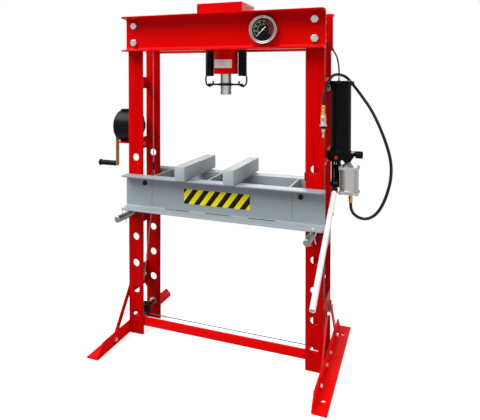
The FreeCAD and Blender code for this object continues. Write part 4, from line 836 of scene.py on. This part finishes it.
def hanging_rope(name, side, y, far_end):
    """Straight run from its far end to an anchor rod: pressed ferrule and a loop round the thimble."""
    rod, far_end = Vector((side * ROD_X, y, ROD_Z)), Vector(far_end)
    up = (far_end - rod).normalized()
    across = Vector((up.z, 0, -up.x))
    neck = rod + up * NECK
    bm = bmesh.new()
    add_sweep(bm, fine([far_end, neck]), ROPE_R, 18, lobes=6)
    loop = [neck]
    for turn in spread(-20, 200, 12):
        angle = math.radians(turn)
        loop.append(rod + across * (LOOP_R * math.cos(angle)) - up * (LOOP_R * math.sin(angle)))
    add_sweep(bm, fine(loop + [neck], 4), ROPE_R * 0.9, 12, lobes=6)
    stretch = ("frame", "table", far_end, rod + up * FERRULE_END)
    piece(name + "_stranded", bm, ROPE, name, body=stretch, smooth=60)
    bm = bmesh.new()
    add_sweep(bm, [rod + up * d for d in (62, 64, 104, FERRULE_END)], 7.0, 16)
    piece(name + "_ferrule", bm, BLACK_STEEL, body="table")


# The level rope leaves the left base wheel on a tangent that leans towards its rod.
run, climb = BASE_WHEEL_X - ROD_X, ROD_Z - BASE_WHEEL_Z
lean = math.atan2(run, climb) + math.asin(BASE_ROPE_R / math.hypot(run, climb))
touch = (-BASE_WHEEL_X - BASE_ROPE_R * math.cos(lean), LEVEL_Y, BASE_WHEEL_Z + BASE_ROPE_R * math.sin(lean))
lift = [(-HEAD_WHEEL_X - HEAD_ROPE_R, LIFT_Y, 1205)]
lift += arc((-HEAD_WHEEL_X, HEAD_WHEEL_Z), HEAD_ROPE_R, 180, 0, 24, LIFT_Y)
level = arc((-BASE_WHEEL_X, BASE_WHEEL_Z), BASE_ROPE_R, 180 - math.degrees(lean), 270, 24, LEVEL_Y)
level += arc((BASE_WHEEL_X, BASE_WHEEL_Z), BASE_ROPE_R, -90, 0, 24, LEVEL_Y)
level += arc((HEAD_WHEEL_X, HEAD_WHEEL_Z), HEAD_ROPE_R, 0, 180, 24, LEVEL_Y)
bm = bmesh.new()
for line in (lift, level):
    add_sweep(bm, fine(line), ROPE_R, 18, lobes=6)
piece("ropes_on_pulleys", bm, OILED_ROPE, "rope_on_pulleys", smooth=60)
hanging_rope("rope_drop_left", -1, LIFT_Y, (-ROD_X, LIFT_Y, HEAD_WHEEL_Z))
hanging_rope("rope_drop_right", 1, LEVEL_Y, (ROD_X, LEVEL_Y, HEAD_WHEEL_Z))
hanging_rope("rope_left_equaliser", -1, LEVEL_Y, touch)

# -------- table
# Two grey channels of the head's own section, joined by welded cross plates. The black rods that hold
# the ropes end at their webs, and two loose steel blocks lie on top.
TABLE_WEB_Y, TABLE_LOW = 111, 754.8
# Satin paint: cool grey, a soft sheen and slight orange peel; the blocks are rougher and paler.
GREY = finish("satin_grey_paint", "#939CA2", 0.42, shine=0.3, grain=(5, 0.05))
BLOCK_GREY = finish("painted_block_grey", "#A6AEB2", 0.5, shine=0.3, grain=(4, 0.09))

channels("table", TABLE_WEB_Y, TABLE_LOW, GREY, "table")
dressed("table_cross_plates", GREY, 0.8, body="table")
for _, side_name in SIDES:
    dressed(f"support_block_{side_name}", BLOCK_GREY, 1.6, body="table")
bm = bmesh.new()
for side, rope_ys in ((-1, (LIFT_Y, LEVEL_Y)), (1, (LEVEL_Y,))):
    add_rod(bm, (side * ROD_X, 0, ROD_Z), Y, -129.5, 129.5, 13, 1.5)
    for y in rope_ys:
        thimble = [(-6, 13), (-6, 19), (-4, 19), (0, 15, 3), (4, 19), (6, 19), (6, 13)]
        add_lathe(bm, (side * ROD_X, y, ROD_Z), Y, soften(thimble, 0.6, closed=True), closed=True)
piece("rope_rods_black", bm, BLACK_STEEL, "table_lift_rods", body="table")

# -------- hazard film and joint lines
# Yellow plastic film with slanting black stripes on the table's front web, and thin dark lines of painted
# shadow where plates meet at the web's ends and along its foot.
FILM_LEFT, FILM_RIGHT, FILM_LOW, FILM_HIGH = -208, 184, 813, 896
STRIPE, SLANT, FIRST_STRIPE = 34, 62, -216
WEB_FRONT = -TABLE_WEB_Y - WEB
# Film has flat strong colours and a weak sheen; the joint lines are plain matt shadow.
HAZARD_YELLOW = finish("hazard_yellow_film", "#F2E208", 0.4, shine=0.2)
HAZARD_BLACK = finish("hazard_black_film", "#140E02", 0.4, shine=0.15)
SHADOW_GAP = finish("painted_shadow_joint_line", "#3C4347", 0.9, shine=0.1)


def clipped(points, low, high):
    """Cut a polygon of (x, z) points to a span of x."""
    for bound, keep in ((low, 1), (high, -1)):
        out = []
        for a, b in zip(points, points[1:] + points[:1]):
            inside_a, inside_b = keep * (a[0] - bound) >= 0, keep * (b[0] - bound) >= 0
            if inside_a:
                out.append(a)
            if inside_a != inside_b:
                t = (bound - a[0]) / (b[0] - a[0])
                out.append((bound, a[1] + (b[1] - a[1]) * t))
        points = out
    return points


bm = bmesh.new()
film = rectangle(FILM_LEFT, FILM_RIGHT, FILM_LOW, FILM_HIGH, 0)
add_plate(bm, film, 0.4, upright_y(WEB_FRONT - 0.2), 0.05, 1)
piece("hazard_film_yellow", bm, HAZARD_YELLOW, body="table")
bm = bmesh.new()
for k in range(-2, 7):
    start = FIRST_STRIPE + k * 2 * STRIPE
    stripe = [(start, FILM_LOW), (start + STRIPE, FILM_LOW), (start + STRIPE + SLANT, FILM_HIGH),
              (start + SLANT, FILM_HIGH)]
    shape = clipped(stripe, FILM_LEFT, FILM_RIGHT)
    if len(shape) > 2:
        skin(bm, [[bm.verts.new((x, WEB_FRONT - out, z)) for x, z in shape] for out in (0.5, 0.42)])
piece("hazard_film_black", bm, HAZARD_BLACK, body="table")
# Painted shadow: thin dark lines in the web's joints and along its foot.
bm = bmesh.new()
for x in (-414, 414):
    add_box(bm, (x - 0.7, WEB_FRONT - 0.25, 770), (x + 0.7, WEB_FRONT, 940), 0)
for x in (-250, 0, 250):
    add_sweep(bm, [(x - 75, WEB_FRONT - 3.2, 770.6), (x + 75, WEB_FRONT - 3.2, 770.6)], 2.2, 8)
piece("table_joint_lines", bm, SHADOW_GAP, body="table")

# -------- support pins
# Ground steel pins with chamfered ends, pushed through the posts under the table, each kept by a spring
# clip of zinc wire.
PIN_Z, CLIP_Y, CLIP_R = 736.5, -212, 14
# Ground bar: mid grey metal with fine rings round it, drawn coarse enough to show.
STEEL = finish("ground_steel", "#9C9C9B", 0.26, metallic=1.0, grain=(0.9, 0.01),
               stretch=(1, 1, 12))

for side, side_name in SIDES:
    body = f"pin_{side_name}"
    turned(f"support_pin_{side_name}_ground", (side * POST_X, 0, PIN_Z), Y, [
        (-305, 15), (-302, 18), (142, 18), (145, 15)], 0.5, 64, STEEL, f"support_pin_{side_name}",
        steps=2, body=body)
    wire = [(0, CLIP_Y, -42), (0, CLIP_Y, 30)] + arc((CLIP_R, 30), CLIP_R, 180, 0, 14, CLIP_Y)
    wire += [(27, -212.5, 22), (21, -213, 10), (20, -213, -6), (27, -213, -30)]
    bm = bmesh.new()
    add_sweep(bm, [(side * (POST_X + x), y, PIN_Z + z) for x, y, z in wire], 2.5)
    piece(f"pin_clip_{side_name}", bm, ZINC, body=body, smooth=60)

# -------- winch
# Glossy black plastic cover on a red shelf, bolted outside the left post. The dark steel drum beside it,
# between the post's bars, carries two turns of the lift rope.
WINCH_Y, WINCH_Z, GRIP_Z = 7, 1227, 986
WINCH = (0, WINCH_Y, WINCH_Z)
DRUM_ROPE_R, DRUM_ROPE_FROM, DRUM_ROPE_TO = 27, -568, -558
# Smooth plastic: deep black with small bright highlights.
COVER = finish("glossy_black_cover", "#06070A", 0.3, shine=0.12)


def upright_x(x):
    """Places a plate drawn in (Y, Z) at a distance x."""
    return Matrix.Translation((x, 0, 0)) @ Matrix.Rotation(math.pi / 2, 4, "Z") @ upright_y(0)


bm = bmesh.new()
shelf = [(-695, -57, 6), (-577.5, -57), (-577.5, 71), (-695, 71, 6)]
add_plate(bm, shelf, 6, Matrix.Translation((0, 0, 1127)), trim=0.6)
add_plate(bm, rectangle(-57, 71, 1085, 1127), 6, upright_x(-580.5), trim=2)
piece("winch_shelf_red", bm, RED, "winch_bracket")
bm = bmesh.new()
add_lathe(bm, WINCH, (-1, 0, 0), [
    (590, 97, 1), (594, 97, 1), (594, 95, 1), (698, 95, 8), (708, 84, 6)], 1, 128, 4)
add_box(bm, (-690, -22, 1321), (-592, 36, 1329), 1.5)
add_box(bm, (-694, -18, 1129.5), (-592, 32, 1136))
piece("winch_cover_black", bm, COVER, "winch_housing")
turned("winch_drum_dark", WINCH, X, [
    (-605, 10), (-571, 10), (-571, 23.6), (-557, 23.6), (-557, 42), (-553, 42)], 0.8, 64,
    DARK_STEEL, "winch_drum", body="drum", slot="drum_steel")
coil = []
for angle, x in zip(spread(0, 4 * math.pi, 48), spread(DRUM_ROPE_FROM, DRUM_ROPE_TO, 48)):
    coil.append((x, WINCH_Y - DRUM_ROPE_R * math.cos(angle), WINCH_Z + DRUM_ROPE_R * math.sin(angle)))
bm = bmesh.new()
add_sweep(bm, coil, 2.5)
piece("rope_on_drum", bm, ROPE, body="drum", smooth=60)

# -------- crank
# Flat steel arm with yellow zinc on it, clamped to the winch's shaft, and a moulded black grip that
# turns on its pin. Yellow zinc is brassy and uneven, in patches about 14 mm wide; the plastic is a matt
# black.
BRASS_ARM = finish("yellow_zinc_arm", "#B58D50", 0.36, metallic=0.5,
                   worn=(14, "#9C733A", 0.45))
PLASTIC = finish("moulded_black_plastic", "#060607", 0.4, shine=0.1, grain=(0.8, 0.03))

bm = bmesh.new()
arm = arc((WINCH_Y, WINCH_Z), 16, 210, -30, 20) + arc((WINCH_Y, GRIP_Z), 13, 0, -180, 15)
add_plate(bm, [(y, z) for y, _, z in arm], 8, upright_x(-731), 0.8)
add_rod(bm, WINCH, X, -738, -696, 9, 0.8, 32)
add_lathe(bm, (0, WINCH_Y, GRIP_Z), X, [(-865, 9), (-861, 9), (-861, 5), (-728, 5)], 0.6, 32)
piece("crank_arm_zinc", bm, BRASS_ARM, "crank", body="crank_arm")
turned("crank_grip_plastic", (0, WINCH_Y, GRIP_Z), X, [
    (-860, 5.4), (-860, 20, 2), (-852, 20, 2), (-850, 16, 2), (-742, 16, 2), (-739, 14, 2),
    (-739, 5.4)], 1, 48, PLASTIC, "crank_grip", steps=4, closed=True, body="grip")

# -------- bracket bolts
# Zinc hexagon bolts with washers hold the winch's shelf to the left post and the pump's cap to the right
# one, with their nuts inside the posts. One more bolt hangs under the shelf.
bm = bmesh.new()
add_hex(bm, (0, 0, 0), X, 19, 8, 1.2)
places = []
for side, y, z, stack in ((-1, 60, 1111, 6), (-1, -46, 1111, 6), (1, 14, 1473, 0), (1, -44, 1473, 0)):
    places += [((side * (POST_OUT + stack), y, z), facing(side)), ((side * POST_IN, y, z), facing(-side))]
places.append(((-603, -38, 1124), (0, math.pi / 2, 0)))
repeated("bracket_bolts_zinc", bm, places, ZINC, "bracket_bolts")

# -------- pump reservoir and block
# Satin black steel tank between a cast cap with lugs and a cast valve block, bolted to the post's outer
# face. Two cheeks under the block carry the lever's pin, and the plunger stands between them.
TANK_AT, PUMP_X, PUMP_Y = (644, 0, 0), 622, 14
POST_FACE, PLUG = POST_OUT + 0.2, (629, 0, 1112)
PIVOT = Vector((PUMP_X, -10, 969))
# Sprayed black stays deep, with soft broad highlights. The plug is a clear red plastic.
TANK = finish("satin_black_tank", "#050506", 0.35, shine=0.11)
PLUG_RED = finish("red_plastic_plug", "#B00E17", 0.35, shine=0.3)

bm = bmesh.new()
add_lathe(bm, TANK_AT, Z, [
    (1137, 56), (1143, 56), (1145, 53.5), (1482, 53.5), (1484, 57), (1490, 57), (1490, 63.5, 2),
    (1505, 63.5, 3), (1510, 58, 3)], 1, 96)
lug = [(640, -13), (704, -13, 8), (712, -6, 6), (712, 6, 6), (704, 13, 8), (640, 13)]
add_plate(bm, lug, 14, Matrix.Translation((0, 0, 1499)), 1.2, 2, [(700, 0, 4)])
add_box(bm, (POST_FACE, -35, 1492), (620, 35, 1506), 1.5)
piece("reservoir_black", bm, TANK, "reservoir")
bm = bmesh.new()
block = [(POST_FACE, 1136), (POST_FACE, 1110, 3), (596, 1098, 6), (602, 1092, 4), (644, 1092, 5),
         (652, 1102, 5), (663, 1103, 5), (668, 1094, 4), (671, 1092.5, 2), (696, 1092.5, 2), (708, 1112, 5),
         (714, 1120, 3), (714, 1136)]
add_plate(bm, block, 92, upright_y(0), 3, 1.5)
add_box(bm, (POST_FACE, -49, 1128), (713.5, 49, 1136.9), 2.5)
add_lathe(bm, PLUG, FRONT, [(40, 16), (49, 15), (50, 13)], 1.5, 40)
cheek = [(-24, 1092), (-24, 985, 9), (-14, 950, 9), (14, 950, 9), (26, 985, 9), (26, 1092)]
for side in (-1, 1):
    x = PUMP_X + side * 17.5
    add_plate(bm, cheek, 8, upright_x(x), 0.8, 2)
    add_lathe(bm, (x, *PIVOT.yz), (side, 0, 0), [(4, 11), (8, 11), (10, 9)], 1, 32)
add_rod(bm, (PUMP_X, 0, PIVOT.z), X, -22, 22, 7, 0, 24)
add_lathe(bm, (PUMP_X, PUMP_Y, 0), Z, [
    (992, 12), (1043, 12), (1043, 13.4), (1066, 13.4)], 1, 40)
piece("pump_block_black", bm, TANK, "pump_block")
bm = bmesh.new()
add_rod(bm, (PUMP_X, PUMP_Y, 0), Z, 1064, 1094, 10.5, 1, 32)
piece("pump_plunger", bm, STEEL)
turned("pump_plug_red", PLUG, FRONT, [
    (49, 10.5), (53, 10.5, 2), (55, 8)], 1, 48, PLUG_RED, "pump_plug", steps=4)

# -------- release knob
# Moulded black knob with fourteen flutes for the fingers, on a coned steel stem out of the block.
KNOB, FLUTES = (0, 0, 1126), 14


def fluted(radius):
    return lambda angle: radius * (1 + 0.03 * math.cos(FLUTES * angle))


bm = bmesh.new()
add_lathe(bm, KNOB, X, [(714.2, 6), (720.5, 11)], 1)
add_lathe(bm, KNOB, X, [
    (720.4, fluted(15)), (722.5, fluted(17.6)), (724, fluted(18.4)), (754, fluted(18.4)),
    (756.5, fluted(17)), (757.5, fluted(14))], 0, 112)
piece("release_knob_fluted", bm, PLASTIC, "release_knob", body="knob", slot="black_steel")

# -------- air motor
# Turned aluminium barrel between square cast plates, held by four tie rods. A cast neck joins it to the
# block above, and a brass fitting under it takes the hose.
MOTOR_X, ROD_DX, ROD_DY = 689, 43, 34
INLET = (697, 0, 0)
PLATES = ((922, 936), (1048, 1062))
# Cast metal is pale and grainy; the turned barrel has finer rings and a brighter gleam.
ALUMINIUM = finish("cast_aluminium", "#C0C1BD", 0.42, metallic=0.8, grain=(1.6, 0.03))
TURNED = finish("turned_aluminium", "#CBCCC8", 0.32, metallic=0.8, grain=(0.7, 0.008),
                stretch=(1, 1, 14))

bm = bmesh.new()
square = soften([(MOTOR_X + dx * 47, dy * 41, 14) for dx, dy in ((-1, -1), (1, -1), (1, 1), (-1, 1))],
                closed=True, steps=5)
rods = [(MOTOR_X + dx * ROD_DX, dy * ROD_DY) for dx, dy in CORNERS]
for low, high in PLATES:
    add_plate(bm, square, high - low, Matrix.Translation((0, 0, (low + high) / 2)), 1)
    for x, y in rods:
        add_rod(bm, (x, y, 0), Z, low, high, 8, 1, 24)
add_lathe(bm, (682, 0, 0), Z, [
    (1060, 31), (1065, 31), (1068, 25), (1086, 14.5), (1094, 14.5)], 2)
piece("air_motor_plates", bm, ALUMINIUM, "air_motor")
turned("air_motor_barrel", (MOTOR_X, 0, 0), Z, [
    (934, 47.2), (940, 47.2), (941, 46.5), (1043, 46.5), (1044, 47.2), (1050, 47.2)],
    0.4, 96, TURNED, steps=2)
bm = bmesh.new()
for x, y in rods:
    add_rod(bm, (x, y, 0), Z, 919, 1067, 2.2, 0.5, 20)
    add_hex(bm, (x, y, 1062), Z, 10, 4)
    add_hex(bm, (x, y, 922), (0, 0, -1), 10, 3)
piece("air_motor_tie_rods", bm, ALUMINIUM, slot="zinc_steel")
bm = bmesh.new()
add_lathe(bm, INLET, Z, [
    (875, 9), (878, 10), (894, 10), (896, 9), (905, 9), (922, 9)], 0.6, 40, 2)
add_hex(bm, (697, 0, 894), Z, 21, 13)
piece("air_inlet_brass", bm, BRASS, "air_inlet")

# -------- pump lever
# Black forged socket on the cheeks' pin, with a heel that works the plunger, and the white powder-coated
# tube that slides into it.
DROP = math.radians(32.9)
DOWN = Vector((0, -math.cos(DROP), -math.sin(DROP)))
# Powder coat: warm white with a fine grain that breaks up the highlight.
WHITE = finish("white_powder_coat", "#E9E4E2", 0.38, grain=(3, 0.03))

bm = bmesh.new()
add_rod(bm, PIVOT, X, -13, 13, 17, 1, 40, bore=7.3)
add_lathe(bm, PIVOT, DOWN, [(14, 11), (32, 12), (36, 16), (62, 16), (64, 14)], 1.2)
add_box(bm, (610, 4, 962), (634, 26, 996), 3)
piece("pump_lever_black", bm, BLACK_STEEL, "pump_lever", body="lever")
turned("pump_handle_white", PIVOT, DOWN, [(46, 13), (734, 13), (734, 11), (700, 11)], 0.5,
       48, WHITE, "pump_handle", steps=2, body="lever")

# -------- oil hose
# Thin rubber hose from the reservoir's cap, up behind the head beam and across to the cylinder. It is
# screwed on at both ends, with zinc hexagon and turned fittings.
OIL_ROUTE = [
    (641, -38, 1518), (641, -38, 1560), (634, -18, 1606), (616, 18, 1652), (574, 46, 1700),
    (500, 58, 1752), (380, 58, 1790), (250, 56, 1800), (133, 56, 1800),
]
OIL_HOSE_D, OIL_PORT = 8, (641, -38, 0)
oil_hose = hose("oil_hose_rubber", OIL_ROUTE, OIL_HOSE_D, "oil_hose")
bm = bmesh.new()
add_hex(bm, (641, -38, 1510), Z, 14, 8)
add_rod(bm, OIL_PORT, Z, 1516, 1536, 5.4, 0.6, 24)
add_lathe(bm, (0, 56, 1800), X, [(133, 9), (145, 9), (147, 5.4), (160, 5.4)], 0.6, 24)
piece("oil_hose_fittings", bm, ZINC)
